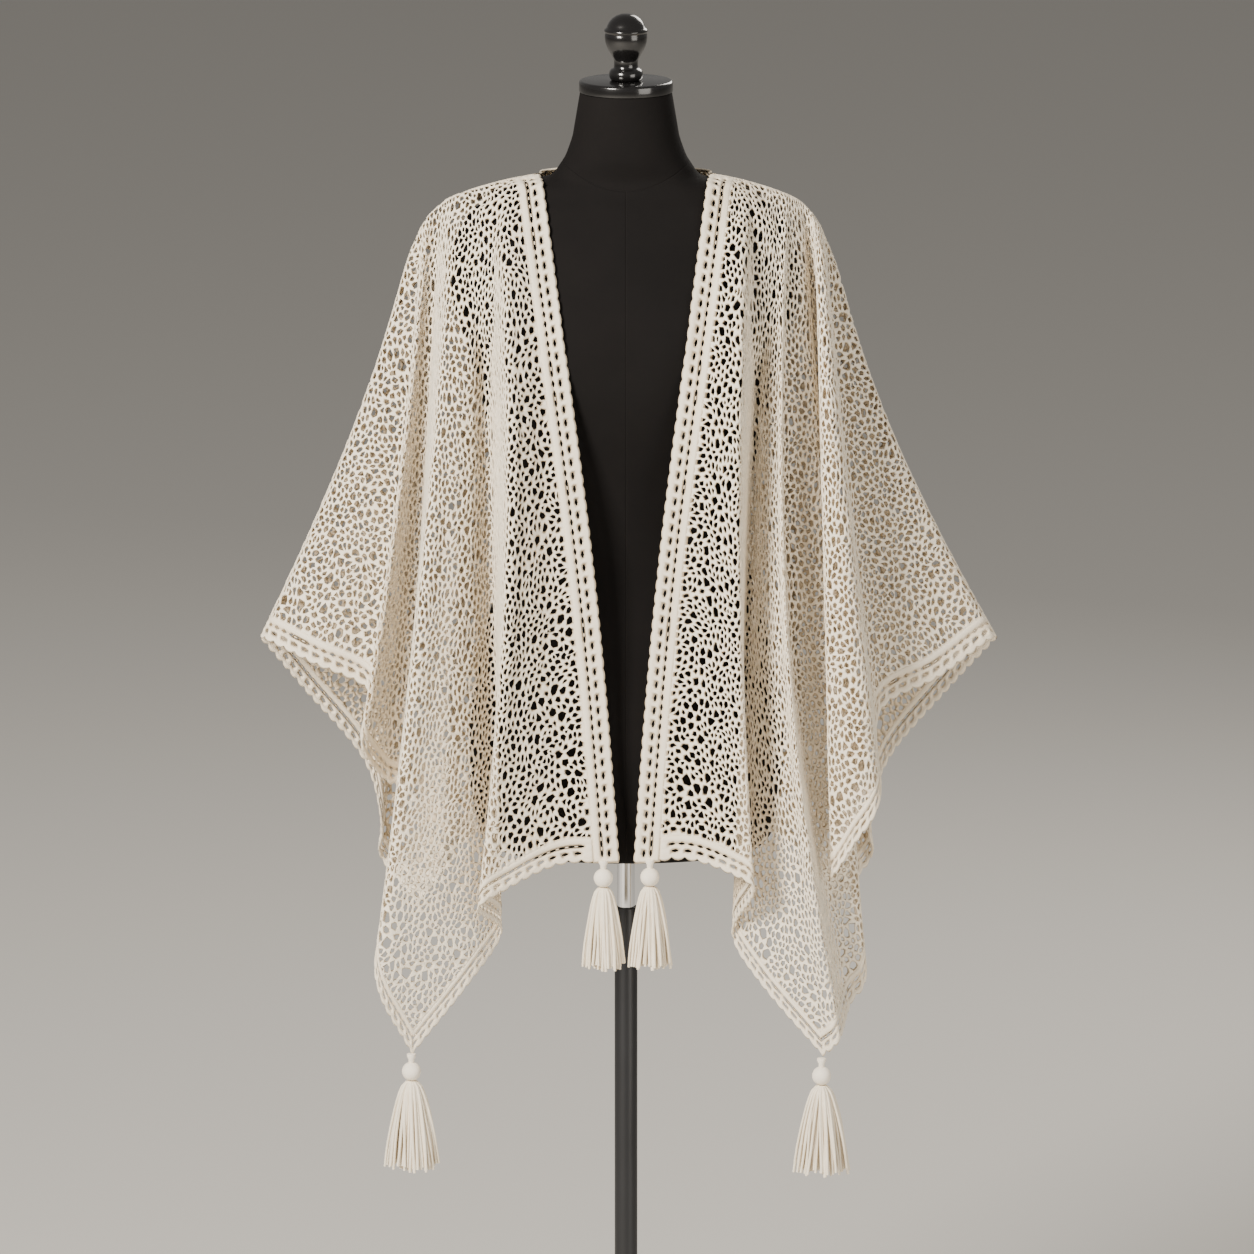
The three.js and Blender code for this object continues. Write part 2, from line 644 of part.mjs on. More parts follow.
function geometryOf(solid) {
  const { vertProperties, triVerts } = solid.getMesh();
  const geometry = new THREE.BufferGeometry();
  geometry.setAttribute('position', new THREE.BufferAttribute(vertProperties, 3));
  geometry.setIndex(new THREE.BufferAttribute(triVerts, 1));
  return geometry;
}

// A tassel's skirt: separate strands whose roots are fused into one domed core.
function tasselSkirt(size) {
  let skirt = solidOf(turned(TASSEL_CORE, TASSEL_SIDES));
  STRAND_RINGS.forEach((ring) => {
    for (let strand = 0; strand < ring.strands; strand += 1) {
      const angle = ring.turn + (2 * Math.PI * strand) / ring.strands;
      skirt = skirt.add(solidOf(strandGeometry(ring, angle, size)));
    }
  });
  return geometryOf(skirt);
}

// A tassel's head: a wound ball under a short cord that meets the edging.
function tasselBead() {
  const cordAngle = Math.asin(CORD_RADIUS / BEAD_RADIUS);
  const ball = Array.from({ length: BEAD_STEPS + 1 }, (_, step) => {
    const angle = Math.PI - ((Math.PI - cordAngle) * step) / BEAD_STEPS;
    return [BEAD_RADIUS * Math.sin(angle), BEAD_RADIUS * Math.cos(angle)];
  });
  ball[0][0] = 0;
  const cordTop = BEAD_RADIUS + CORD_LENGTH;
  return turned([...ball, [CORD_RADIUS, cordTop], [0, cordTop]], TASSEL_SIDES);
}

function addTassel(name, seat, size) {
  const beadCentre = seat.z - SEAM_GAP - CORD_LENGTH - BEAD_RADIUS;
  const bead = addPiece(`${name}_bead`, tasselBead(), CREAM_YARN);
  bead.position.set(seat.x, seat.y, beadCentre);
  const skirt = addPiece(`${name}_skirt`, tasselSkirt(size), CREAM_YARN);
  skirt.position.set(seat.x, seat.y, beadCentre - BEAD_RADIUS - SEAM_GAP);
}

// The two fronts. Each has one strip of edging up its front edge and along its hem and side edge.
function addFront(side, name) {
  const drape = makeDrape(side, FRONT, FRONT_FOLDS[side]);
  const ascending = side === WEARERS_RIGHT;
  const panel = {
    facing: FRONT,
    start: ascending ? 0 : drape.last,
    end: ascending ? drape.last : 0,
    pointAt: drape.pointAt,
    onShoulder: drape.onShoulder,
  };
  const rows = addPanel(name, panel, FRONT_ROWS);
  const hem = [...rows.at(-1)].reverse();
  const frontEdge = rows.slice(0, -1).map((row) => (ascending ? row[0] : row.at(-1)));
  const path = ascending ? [...hem, ...frontEdge.reverse()] : [...frontEdge, ...hem];
  const stations = addEdging(`${name}_edging`, path, FRONT);
  const hemStations = stations.filter(({ point }) => hem.some((vertex) => vertex.point === point));
  const stationAt = (fold) => hemStations.find((station) => station.fold === fold);
  const corner = FRONT_FOLDS[side].findIndex((fold) => fold.corner);
  const alongHem = rimPoint(stationAt(0)).lerp(rimPoint(stationAt(0.5)), INNER_TASSEL_ALONG_HEM);
  addTassel(`${name}_inner_tassel`, alongHem, INNER_TASSEL);
  addTassel(`${name}_outer_tassel`, rimPoint(stationAt(corner)), OUTER_TASSEL);
}

// The back, from one side edge to the other, with a strip of edging along its hem and one round the neck.
function addBack() {
  const drapes = {};
  [WEARERS_RIGHT, WEARERS_LEFT].forEach((side) => {
    const folds = BACK_FOLDS.map((fold) => ({ ...fold, x: side * fold.x, bow: side * fold.bow }));
    drapes[side] = makeDrape(side, BACK, [...folds, FRONT_FOLDS[side].at(-1)]);
  });
  const drapeOf = (fold) => drapes[fold < 0 ? WEARERS_RIGHT : WEARERS_LEFT];
  const panel = {
    facing: BACK,
    start: -BACK_FOLDS.length,
    end: BACK_FOLDS.length,
    pointAt: (fold, at) => drapeOf(fold).pointAt(Math.abs(fold), at),
    onShoulder: (fold, at) => drapeOf(fold).onShoulder(Math.abs(fold), at),
  };
  const rows = addPanel('back', panel, BACK_ROWS);
  addEdging('back_hem_edging', [...rows.at(-1)].reverse(), BACK);
  const neckRow = rows[0].filter(({ onShoulder }) => !onShoulder);
  addEdging('back_neck_edging', neckRow, BACK);
}

// The dress form's torso, a loft through its sections.
function formTorso() {
  const corners = FORM_SECTIONS.flatMap(({ z, halfWidth, front, back }) => {
    return Array.from({ length: FORM_SIDES }, (_, index) => {
      const angle = (2 * Math.PI * index) / FORM_SIDES;
      const bend = 2 / FORM_ROUNDNESS;
      const across = Math.sign(Math.cos(angle)) * Math.abs(Math.cos(angle)) ** bend;
      const deep = Math.sign(Math.sin(angle)) * Math.abs(Math.sin(angle)) ** bend;
      return new THREE.Vector3(halfWidth * across, (deep < 0 ? front : back) * deep, z);
    });
  });
  return sweptGeometry(corners, FORM_SIDES);
}

// A round solid about the Z axis from pairs of radius and height, raised to a height of its own.
function turned(profile, sides, raised = 0) {
  const points = profile.map(([radius, z]) => new THREE.Vector2(radius, z + raised));
  const geometry = new THREE.LatheGeometry(points, sides).rotateX(Math.PI / 2);
  geometry.deleteAttribute('normal');
  geometry.deleteAttribute('uv');
  const merged = mergeVertices(geometry);
  const numbers = [...merged.getIndex().array];
  merged.setIndex(numbers.filter((_, place) => {
    const face = numbers.slice(place - (place % 3), place - (place % 3) + 3);
    return new Set(face).size === 3;
  }));
  return orientOutward(merged);
}

function addForm() {
  const capBottom = FORM_SECTIONS.at(-1).z + SEAM_GAP;
  const finialBottom = capBottom + CAP_HEIGHT + SEAM_GAP;
  const tubeTop = FORM_SECTIONS[0].z - SEAM_GAP;
  addPiece('form_torso', formTorso(), BLACK_CLOTH);
  addPiece('neck_cap', turned(CAP_PROFILE, ROUND_SIDES, capBottom), BLACK_GLOSS);
  addPiece('finial', turned(FINIAL_PROFILE, SLIM_SIDES, finialBottom), BLACK_GLOSS);
  addPiece('inner_tube', turned([
    [0, INNER_TUBE_BOTTOM], [INNER_TUBE_RADIUS, INNER_TUBE_BOTTOM],
    [INNER_TUBE_RADIUS, tubeTop], [0, tubeTop],
  ], SLIM_SIDES), CHROME);
}

function addStand() {
  const tubeBore = INNER_TUBE_RADIUS + TUBE_CLEARANCE;
  const socketBore = OUTER_TUBE_RADIUS + SEAM_GAP;
  const standing = BASE_THICKNESS + SEAM_GAP;
  addPiece('base_plate', turned([
    [0, 0], [BASE_RADIUS, 0], [BASE_RADIUS, BASE_THICKNESS - BASE_CHAMFER],
    [BASE_RADIUS - BASE_CHAMFER, BASE_THICKNESS], [0, BASE_THICKNESS],
  ], ROUND_SIDES), BLACK_METAL);
  addPiece('base_socket', turned([
    [socketBore, 0], [SOCKET_RADIUS, 0], [SOCKET_TOP_RADIUS, SOCKET_HEIGHT],
    [socketBore, SOCKET_HEIGHT], [socketBore, 0],
  ], SLIM_SIDES, standing), BLACK_METAL);
  addPiece('outer_tube', turned([
    [tubeBore, standing], [OUTER_TUBE_RADIUS, standing], [OUTER_TUBE_RADIUS, OUTER_TUBE_TOP],
    [tubeBore, OUTER_TUBE_TOP], [tubeBore, standing],
  ], SLIM_SIDES), BLACK_METAL);
}

addForm();
addStand();
addFront(WEARERS_RIGHT, 'front_right');
addFront(WEARERS_LEFT, 'front_left');
addBack();

export default part;
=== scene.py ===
from math import cos, pi, radians, sin, sqrt

import bmesh
import bpy
import numpy as np
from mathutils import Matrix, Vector
from mathutils.bvhtree import BVHTree
from mathutils.geometry import delaunay_2d_cdt
from mathutils.kdtree import KDTree


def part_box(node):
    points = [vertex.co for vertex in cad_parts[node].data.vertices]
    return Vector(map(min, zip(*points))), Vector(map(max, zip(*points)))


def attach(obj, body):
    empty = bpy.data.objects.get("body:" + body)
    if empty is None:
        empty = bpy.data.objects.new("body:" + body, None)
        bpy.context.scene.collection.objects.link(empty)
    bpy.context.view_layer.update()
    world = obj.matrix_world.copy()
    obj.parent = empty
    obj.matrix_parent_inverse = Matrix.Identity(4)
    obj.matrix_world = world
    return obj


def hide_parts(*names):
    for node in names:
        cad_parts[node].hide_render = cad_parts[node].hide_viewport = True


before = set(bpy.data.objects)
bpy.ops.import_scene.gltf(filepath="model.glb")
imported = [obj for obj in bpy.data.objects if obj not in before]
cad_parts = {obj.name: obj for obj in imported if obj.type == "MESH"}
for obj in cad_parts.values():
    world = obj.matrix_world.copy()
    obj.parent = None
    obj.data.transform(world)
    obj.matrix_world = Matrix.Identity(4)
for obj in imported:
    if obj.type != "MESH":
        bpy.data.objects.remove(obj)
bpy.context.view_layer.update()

# The stand: a round steel base and its socket, both turned and painted satin black, and two telescopic
# tubes, the outer one painted as the base is and the inner one chromed. The painted edges are softened.
MM = 0.001


class Sum:
    """A number socket of a shader, so that shader maths reads as arithmetic."""

    def __init__(self, finish, socket):
        self.finish = finish
        self.socket = socket

    def maths(self, operation, *others):
        return self.finish.node("ShaderNodeMath", {"operation": operation}, [self, *others])

    def __add__(self, other):
        return self.maths("ADD", other)

    __radd__ = __add__

    def __sub__(self, other):
        return self.maths("SUBTRACT", other)

    def __rsub__(self, other):
        return self.finish.node("ShaderNodeMath", {"operation": "SUBTRACT"}, [other, self])

    def __mul__(self, other):
        return self.maths("MULTIPLY", other)

    __rmul__ = __mul__

    def __truediv__(self, other):
        return self.maths("DIVIDE", other)


class Finish:
    """A procedural material. Its method node adds any shader node, and bsdf is its surface."""

    def __init__(self, name, **surface):
        self.material = bpy.data.materials.new(name)
        self.material.use_nodes = True
        self.nodes = self.material.node_tree.nodes
        self.links = self.material.node_tree.links
        self.bsdf = self.nodes["Principled BSDF"]
        for socket, value in surface.items():
            self.bsdf.inputs[socket.replace("_", " ")].default_value = value

    def node(self, kind, settings, values=(), output=0):
        """Adds a node with its settings, then its inputs' values or links, by number or by name."""
        made = self.nodes.new(kind)
        for name, value in settings.items():
            if name == "stops":
                ramp = made.color_ramp
                ramp.elements[0].position, ramp.elements[0].color = value[0]
                ramp.elements[1].position, ramp.elements[1].color = value[-1]
                for position, color in value[1:-1]:
                    ramp.elements.new(position).color = color
            else:
                setattr(made, name, value)
        pairs = values.items() if isinstance(values, dict) else enumerate(values)
        for socket, value in pairs:
            if isinstance(value, Sum):
                self.links.new(value.socket, made.inputs[socket])
            else:
                made.inputs[socket].default_value = value
        return Sum(self, made.outputs[output])

    def place(self, size=(1, 1, 1)):
        position = self.node("ShaderNodeTexCoord", {}, output="Object")
        return self.node("ShaderNodeMapping", {}, {"Vector": position, "Scale": size})

    def noise(self, vector, scale, detail=3.0, roughness=0.55):
        return self.node("ShaderNodeTexNoise", {}, {
            "Vector": vector, "Scale": scale, "Detail": detail, "Roughness": roughness,
        })

    def mix(self, factor, first, second):
        """Colours go through the Mix node's sockets for colours, which share names with those for numbers."""
        factor_socket, first_socket, second_socket, colour_output = 0, 6, 7, 2
        return self.node("ShaderNodeMix", {"data_type": "RGBA"}, {
            factor_socket: factor, first_socket: first, second_socket: second,
        }, colour_output)

    def set(self, socket, value):
        self.links.new(value.socket, self.bsdf.inputs[socket])

    def bump(self, height, strength, distance):
        self.set("Normal", self.node("ShaderNodeBump", {}, {
            "Strength": strength, "Distance": distance, "Height": height,
        }))


def add_piece(name, data, finish, body, replaced, smooth_angle=40):
    """Links a finished mesh or curve as a piece, with its finish, body and the solids it stands for.
    Edges sharper than smooth_angle stay sharp. With None the whole piece is smooth."""
    if isinstance(data, bmesh.types.BMesh):
        bm, data = data, bpy.data.meshes.new(name)
        bm.to_mesh(data)
        bm.free()
    data.materials.append(finish.material)
    piece = bpy.data.objects.new(name, data)
    bpy.context.scene.collection.objects.link(piece)
    if isinstance(data, bpy.types.Mesh):
        data.polygons.foreach_set("use_smooth", [True] * len(data.polygons))
        if smooth_angle:
            data.set_sharp_from_angle(angle=radians(smooth_angle))
    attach(piece, body)
    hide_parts(*replaced)
    return piece


def turned(profile, steps=64):
    """A lathe shape about the pole's axis from pairs of radius and height in millimetres."""
    bm = bmesh.new()
    verts = [bm.verts.new((radius * MM, 0, z * MM)) for radius, z in profile]
    edges = [bm.edges.new(pair) for pair in zip(verts, verts[1:])]
    bmesh.ops.spin(
        bm, geom=verts + edges, cent=(0, 0, 0), axis=(0, 0, 1), angle=2 * pi, steps=steps, use_merge=True,
    )
    bmesh.ops.remove_doubles(bm, verts=bm.verts, dist=1e-6)
    bmesh.ops.recalc_face_normals(bm, faces=bm.faces)
    return bm


satin_black = Finish("satin_black_paint", Base_Color=(0.012, 0.012, 0.013, 1), Roughness=0.38)
satin_black.set("Roughness", 0.3 + satin_black.noise(satin_black.place(), 14, 4) * 0.16)
satin_black.bump(satin_black.noise(satin_black.place(), 900, 2), 0.12, 0.0002)

chrome = Finish("chrome_plate", Base_Color=(0.72, 0.72, 0.73, 1), Metallic=1.0, Roughness=0.1)
chrome.set("Roughness", 0.07 + chrome.noise(chrome.place((1, 1, 40)), 60) * 0.08)

BASE_RADIUS = 165
BASE_TOP = 12
ON_BASE = BASE_TOP + 0.3
add_piece("base", turned([
    (0, 0), (BASE_RADIUS - 2.5, 0), (BASE_RADIUS - 0.7, 0.7), (BASE_RADIUS, 2.5), (BASE_RADIUS, 8.6),
    (BASE_RADIUS - 0.5, 10.2), (BASE_RADIUS - 2, 11.5), (BASE_RADIUS - 4.5, BASE_TOP), (0, BASE_TOP),
], 128), satin_black, "stand", ["base_plate"])
SOCKET_BORE = 11.8
add_piece("pole_socket", turned([
    (SOCKET_BORE, ON_BASE), (25, ON_BASE), (26, 13.2), (26, 16), (24.6, 19), (21.5, 23), (19.4, 29),
    (18.4, 38), (18, 44.8), (17.2, 46), (SOCKET_BORE, 46.3), (SOCKET_BORE, ON_BASE),
]), satin_black, "stand", ["base_socket"])
OUTER_RADIUS, OUTER_BORE, OUTER_TOP = 11.5, 9.3, 713
add_piece("outer_pole", turned([
    (OUTER_BORE, ON_BASE), (OUTER_RADIUS, ON_BASE), (OUTER_RADIUS, OUTER_TOP - 1.4),
    (OUTER_RADIUS - 0.3, OUTER_TOP - 0.4), (OUTER_RADIUS - 0.9, OUTER_TOP), (OUTER_BORE, OUTER_TOP),
    (OUTER_BORE, ON_BASE),
]), satin_black, "stand", ["outer_tube"])
INNER_RADIUS, INNER_FOOT, INNER_TOP = 9, 430, 776.7
add_piece("inner_pole", turned([
    (0, INNER_FOOT), (INNER_RADIUS - 0.6, INNER_FOOT), (INNER_RADIUS, INNER_FOOT + 0.8),
    (INNER_RADIUS, INNER_TOP), (0, INNER_TOP),
]), chrome, "form", ["inner_tube"])

# The dress form: a hollow ladies' torso with a neck, covered in black jersey, on the chromed tube. A
# glossy black disc closes the neck, and a turned black finial stands on it.


def table(columns, *rows):
    """Rows of numbers in which each column goes by its name."""
    return [dict(zip(columns.split(), row)) for row in rows]


FORM_SECTIONS = table(
    "z half_width front back",
    (777, 136, 90, 93), (792, 147, 98, 101), (850, 157, 105, 112), (920, 155, 102, 111),
    (1000, 140, 93, 97), (1080, 121, 86, 83), (1150, 125, 92, 84), (1220, 140, 106, 91),
    (1290, 158, 114, 97), (1335, 172, 104, 97), (1368, 172, 85, 87), (1391, 170, 73, 77),
    (1409, 161, 65, 69), (1421, 153, 59, 63), (1431, 141, 54, 58), (1440, 126, 48, 53),
    (1449, 107, 43, 49), (1456, 77, 41, 46), (1463, 69, 42, 46), (1477, 60, 45, 47), (1496, 53, 46, 48),
    (1541, 45.5, 44.5, 44.5),
)
FORM_ROUNDNESS = 2.15
HEM_ROUNDING = {777: 5, 778.5: 2.4, 781: 0.8}
BUST_HOLLOW = {"depth": 7, "z": 1290, "half_height": 42, "half_width": 34}


def along(rows, column, at):
    """Values on the smooth curve through one column of rows, at fractional rows, carried on straight past
    its ends. A row marked as a corner breaks the curve."""
    values = np.array([row[column] for row in rows], float)
    corners = np.array([bool(row.get("corner")) for row in rows])
    at = np.asarray(at, float)
    last = len(rows) - 1
    row = np.clip(np.floor(at).astype(int), 0, last - 1)
    part = at - row
    start, end = values[row], values[row + 1]
    open_start = (row == 0) | corners[row]
    open_end = (row == last - 1) | corners[row + 1]
    before = np.where(open_start, 2 * start - end, values[np.maximum(row - 1, 0)])
    after = np.where(open_end, 2 * end - start, values[np.minimum(row + 2, last)])
    leave, arrive = (end - before) / 2, (after - start) / 2
    curve = start + (end - start) * part * part * (3 - 2 * part)
    curve = curve + leave * part * (1 - part) ** 2 - arrive * part * part * (1 - part)
    straight = np.where(part < 0, start + leave * part, end + arrive * (part - 1))
    return np.where((part < 0) | (part > 1), straight, curve)


def form_section(column, z):
    """The form's half width, or its depth to the front or the back, at a height."""
    heights = [section["z"] for section in FORM_SECTIONS]
    rows = np.interp(z, heights, np.arange(len(heights)))
    return along(FORM_SECTIONS, column, rows)


def form_torso():
    """The torso and neck: one ring of edges, drawn up through the sections in fine steps."""
    sides = 96
    heights = [*HEM_ROUNDING, 785, *range(790, 1420, 10), *range(1420, 1480, 4), *range(1480, 1541, 6), 1541]
    bm = bmesh.new()
    ring = bmesh.ops.create_circle(bm, segments=sides, radius=1)["verts"]
    circle = [(v.co.x, v.co.y) for v in ring]
    bend = 2 / FORM_ROUNDNESS
    for step, z in enumerate(heights):
        if step:
            edges = [e for e in bm.edges if e.verts[0] in current and e.verts[1] in current]
            grown = bmesh.ops.extrude_edge_only(bm, edges=edges)["geom"]
            fresh = [v for v in grown if isinstance(v, bmesh.types.BMVert)]
            order = {}
            for v in fresh:
                order[min(current, key=lambda c: (c.co - v.co).length_squared)] = v
            ring = [order[v] for v in ring]
        current = set(ring)
        half, front, back = (
            float(form_section(column, z)) - HEM_ROUNDING.get(z, 0)
            for column in ("half_width", "front", "back")
        )
        hollow = BUST_HOLLOW["depth"] * np.exp(-(((z - BUST_HOLLOW["z"]) / BUST_HOLLOW["half_height"]) ** 2))
        for v, (x, y) in zip(ring, circle):
            across, deep = np.sign(x) * abs(x) ** bend, np.sign(y) * abs(y) ** bend
            depth = deep * (front if y < 0 else back)
            if y < 0:
                depth += hollow * np.exp(-((half * across / BUST_HOLLOW["half_width"]) ** 2))
            v.co = Vector((half * across, depth, z)) * MM
    bmesh.ops.holes_fill(bm, edges=[e for e in bm.edges if e.is_boundary], sides=sides)
    bmesh.ops.recalc_face_normals(bm, faces=bm.faces)
    return bm


jersey = Finish("black_jersey", Roughness=0.85, Specular_IOR_Level=0.12)
spot = jersey.place()
weft, warp = (
    jersey.node("ShaderNodeTexWave", {"bands_direction": direction, "wave_profile": "SIN"}, {
        "Vector": spot, "Scale": 420, "Distortion": 1.5, "Detail": 1, "Detail Scale": 2,
    })
    for direction in "ZX"
)
weave = weft * 0.5 + warp * 0.5
lint = jersey.noise(spot, 7, 5, 0.6)
jersey.set("Base Color", jersey.node("ShaderNodeValToRGB", {"stops": [
    (0.3, (0.0042, 0.0036, 0.0035, 1)), (0.7, (0.009, 0.0077, 0.0073, 1)),
]}, [lint * 0.6 + weave * 0.4]))
side_place, depth_place, height_place = (
    jersey.node("ShaderNodeSeparateXYZ", {}, [spot], axis) for axis in "XYZ"
)
SEAM_WIDTH = 0.0011
NECK_SEAM_Z = 1.4485
in_front = depth_place.maths("LESS_THAN", 0)
below_neck = height_place.maths("LESS_THAN", NECK_SEAM_Z + 0.001)
centre_seam = (side_place.maths("ABSOLUTE") / SEAM_WIDTH).maths("MINIMUM", 1)
centre_seam = 1 - (1 - centre_seam) * in_front * below_neck
neckline_height = side_place * side_place * 6.2 + NECK_SEAM_Z
neck_seam = ((height_place - neckline_height).maths("ABSOLUTE") / SEAM_WIDTH).maths("MINIMUM", 1)
jersey.bump(weave * 0.16 + centre_seam * neck_seam, 0.5, SEAM_WIDTH)
torso = add_piece("torso", form_torso(), jersey, "form", ["form_torso"], 60)

lacquer = Finish(
    "black_lacquer", Base_Color=(0.006, 0.0055, 0.0055, 1), Coat_Weight=0.45, Coat_Roughness=0.06,
)
lacquer.set("Roughness", 0.14 + lacquer.noise(lacquer.place(), 55, 4) * 0.12)
lacquer.bump(lacquer.noise(lacquer.place(), 160, 2), 0.04, 0.0003)
add_piece("neck_disc", turned([
    (0, 1541.3), (45.6, 1541.3), (46.3, 1541.8), (46.5, 1542.6), (46.5, 1550.4), (46.1, 1551.7),
    (45, 1552.5), (43.6, 1552.8), (0, 1552.8),
], 96), lacquer, "form", ["neck_cap"])
FINIAL_FOOT = 1553.1
FINIAL = [
    (0, 0), (14.5, 0), (15.2, 0.7), (16.4, 2.6), (16.8, 5.6), (16.3, 8.4), (14.8, 10.6), (12.6, 11.6),
    (12, 12.4), (11.8, 15), (11.9, 18.4), (12.6, 21), (14.4, 24), (17, 28.6), (19.2, 33.2), (20.6, 38),
    (21, 42), (20.9, 45.4), (20.3, 46.6), (20.4, 47.2), (21.3, 48), (21.5, 49.2), (21.2, 50.4), (20, 51.4),
    (19.2, 52.2), (18.2, 55), (16.2, 58.4), (13.4, 61.4), (9.8, 63.9), (5.4, 65.5), (0, 66),
]
knob = turned([(radius, z + FINIAL_FOOT) for radius, z in FINIAL])
add_piece("finial_knob", knob, lacquer, "form", ["finial"], 60)

# The shawl's cut: two fronts and a back of lace net that fall from the shoulders. Each row of a table is
# one fold line of the drape. It leaves the shoulder seam at a distance from the neck and ends at x, y, z on
# the outer rim of the edging. Lengths are in millimetres.
RIGHT, LEFT = -1, 1
FRONT, BACK = -1, 1
SHOULDER_PLANE_Y = 5
SHOULDER_LINE = {
    RIGHT: [(-85, 1458.5), (-123, 1451), (-180, 1431), (-200, 1410), (-213, 1372), (-226, 1333)],
    LEFT: [(83, 1458.5), (119, 1451), (172, 1431), (191, 1409), (204, 1371), (216, 1333)],
}
BACK_NECKLINE = [(0, 68, 1455), (48, 60, 1455), (82, 36, 1456)]
# bow is how far a fold line bends sideways halfway down, and ease how soon it reaches its depth y.
FOLD_COLUMNS = "seam x y z bow ease corner"
FRONT_FOLDS = {
    RIGHT: table(
        FOLD_COLUMNS,
        (12, -18, -125, 787, 10, 7), (22, -67, -128, 785, 14, 7), (32, -117, -150, 766, 18, 6.5),
        (41, -147, -160, 746, 18, 6), (57, -124, -80, 704, 0, 6), (67, -157, -108, 658, 0, 5),
        (77, -213, -135, 593, 0, 4, True), (87, -249, -150, 674, 6, 3), (96, -233, -104, 756, 2, 2.5),
        (105, -220, -36, 832, 0, 2), (114, -241, -48, 853, 2, 1.8), (123, -264, -85, 898, 6, 1.6),
        (131, -256, -48, 943, 4, 1.4), (139, -313, -38, 970, 6, 1.3), (146, -356, -14, 987, 9, 1.1),
        (152, -367, 5, 988, 10, 1),
    ),
    LEFT: table(
        FOLD_COLUMNS,
        (12, 19, -125, 787, -10, 7), (21, 63, -128, 790, -13, 7), (30, 105, -150, 780, -14, 6.5),
        (39, 127, -160, 764, -12, 6), (54, 106, -80, 702, 0, 6), (63, 136, -108, 656, -6, 5),
        (71, 196, -145, 594, -20, 4, True), (78, 212, -156, 612, -26, 4), (84, 224, -104, 636, -32, 5),
        (90, 240, -92, 665, 0, 3), (97, 225, -54, 752, 0, 2.5), (103, 233, -50, 852, 0, 2),
        (109, 238, -100, 852, 0, 2.5), (115, 203, -128, 772, 0, 3.2), (121, 226, -141, 808, 0, 3.2),
        (127, 252, -132, 852, 0, 2.5), (133, 252, -64, 925, -4, 1.6), (139, 312, -40, 956, -10, 1.3),
        (146, 361, -14, 987, -14, 1.1), (152, 372, 5, 988, -15, 1),
    ),
}
BACK_FOLDS = table(
    FOLD_COLUMNS,
    (-117, 0, 126, 792, 0, 7), (-78, 34, 134, 792, 0, 7), (-38, 66, 146, 790, 0, 7), (0, 96, 132, 787, 0, 7),
    (20, 116, 100, 782, 0, 6.5), (38, 142, 140, 762, 0, 6), (53, 172, 152, 738, 0, 5.5),
    (66, 186, 106, 722, 0, 5), (80, 212, 122, 684, 0, 4, True), (94, 250, 134, 730, 0, 3),
    (107, 247, 74, 774, 0, 2), (122, 264, 60, 848, -3, 1.5), (138, 322, 34, 926, -6, 1.2),
)
EDGING_WIDTH = 12


def line_through(points):
    """The smooth line through some points, as a function of the length along it from its start."""
    steps = 60
    points = np.array(points, float)
    points = np.vstack([2 * points[0] - points[1], points, 2 * points[-1] - points[-2]])
    part = np.linspace(0, 1, steps)[:, None]
    pieces = []
    for p0, p1, p2, p3 in zip(points, points[1:], points[2:], points[3:]):
        gaps = [np.sqrt(np.linalg.norm(b - a)) for a, b in ((p0, p1), (p1, p2), (p2, p3))]
        leave = (p1 - p0) / gaps[0] - (p2 - p0) / (gaps[0] + gaps[1]) + (p2 - p1) / gaps[1]
        arrive = (p2 - p1) / gaps[1] - (p3 - p1) / (gaps[1] + gaps[2]) + (p3 - p2) / gaps[2]
        leave, arrive = leave * gaps[1], arrive * gaps[1]
        pieces.append(
            p1 + leave * part + (3 * (p2 - p1) - 2 * leave - arrive) * part**2
            + (2 * (p1 - p2) + leave + arrive) * part**3
        )
    line = np.vstack(pieces)
    lengths = np.r_[0, np.cumsum(np.linalg.norm(np.diff(line, axis=0), axis=1))]
    return lambda length: np.stack([np.interp(length, lengths, line[:, k]) for k in range(3)], -1)


def lift_off_form(points, clearance):
    """Moves cloth out of the form in the plane across the shoulder, so that it keeps its width."""

    def level(y, z):
        depth = np.where(y < 0, form_section("front", z), form_section("back", z))
        across = np.abs(points[:, 0] / form_section("half_width", z)) ** FORM_ROUNDNESS
        return (across + np.abs(y / depth) ** FORM_ROUNDNESS) ** (1 / FORM_ROUNDNESS) - 1

    step, rounds, longest_move, close_enough = 0.5, 60, 2, 0.01
    for _ in range(rounds):
        y, z = points[:, 1], points[:, 2]
        here = level(y, z)
        slope_y, slope_z = (level(y + step, z) - here) / step, (level(y, z + step) - here) / step
        slope = np.hypot(slope_y, slope_z)
        short = np.clip(clearance - here / slope, None, longest_move)
        short[short < close_enough] = 0
        points[:, 1] += short * slope_y / slope / 2
        points[:, 2] += short * slope_z / slope / 2
    return points


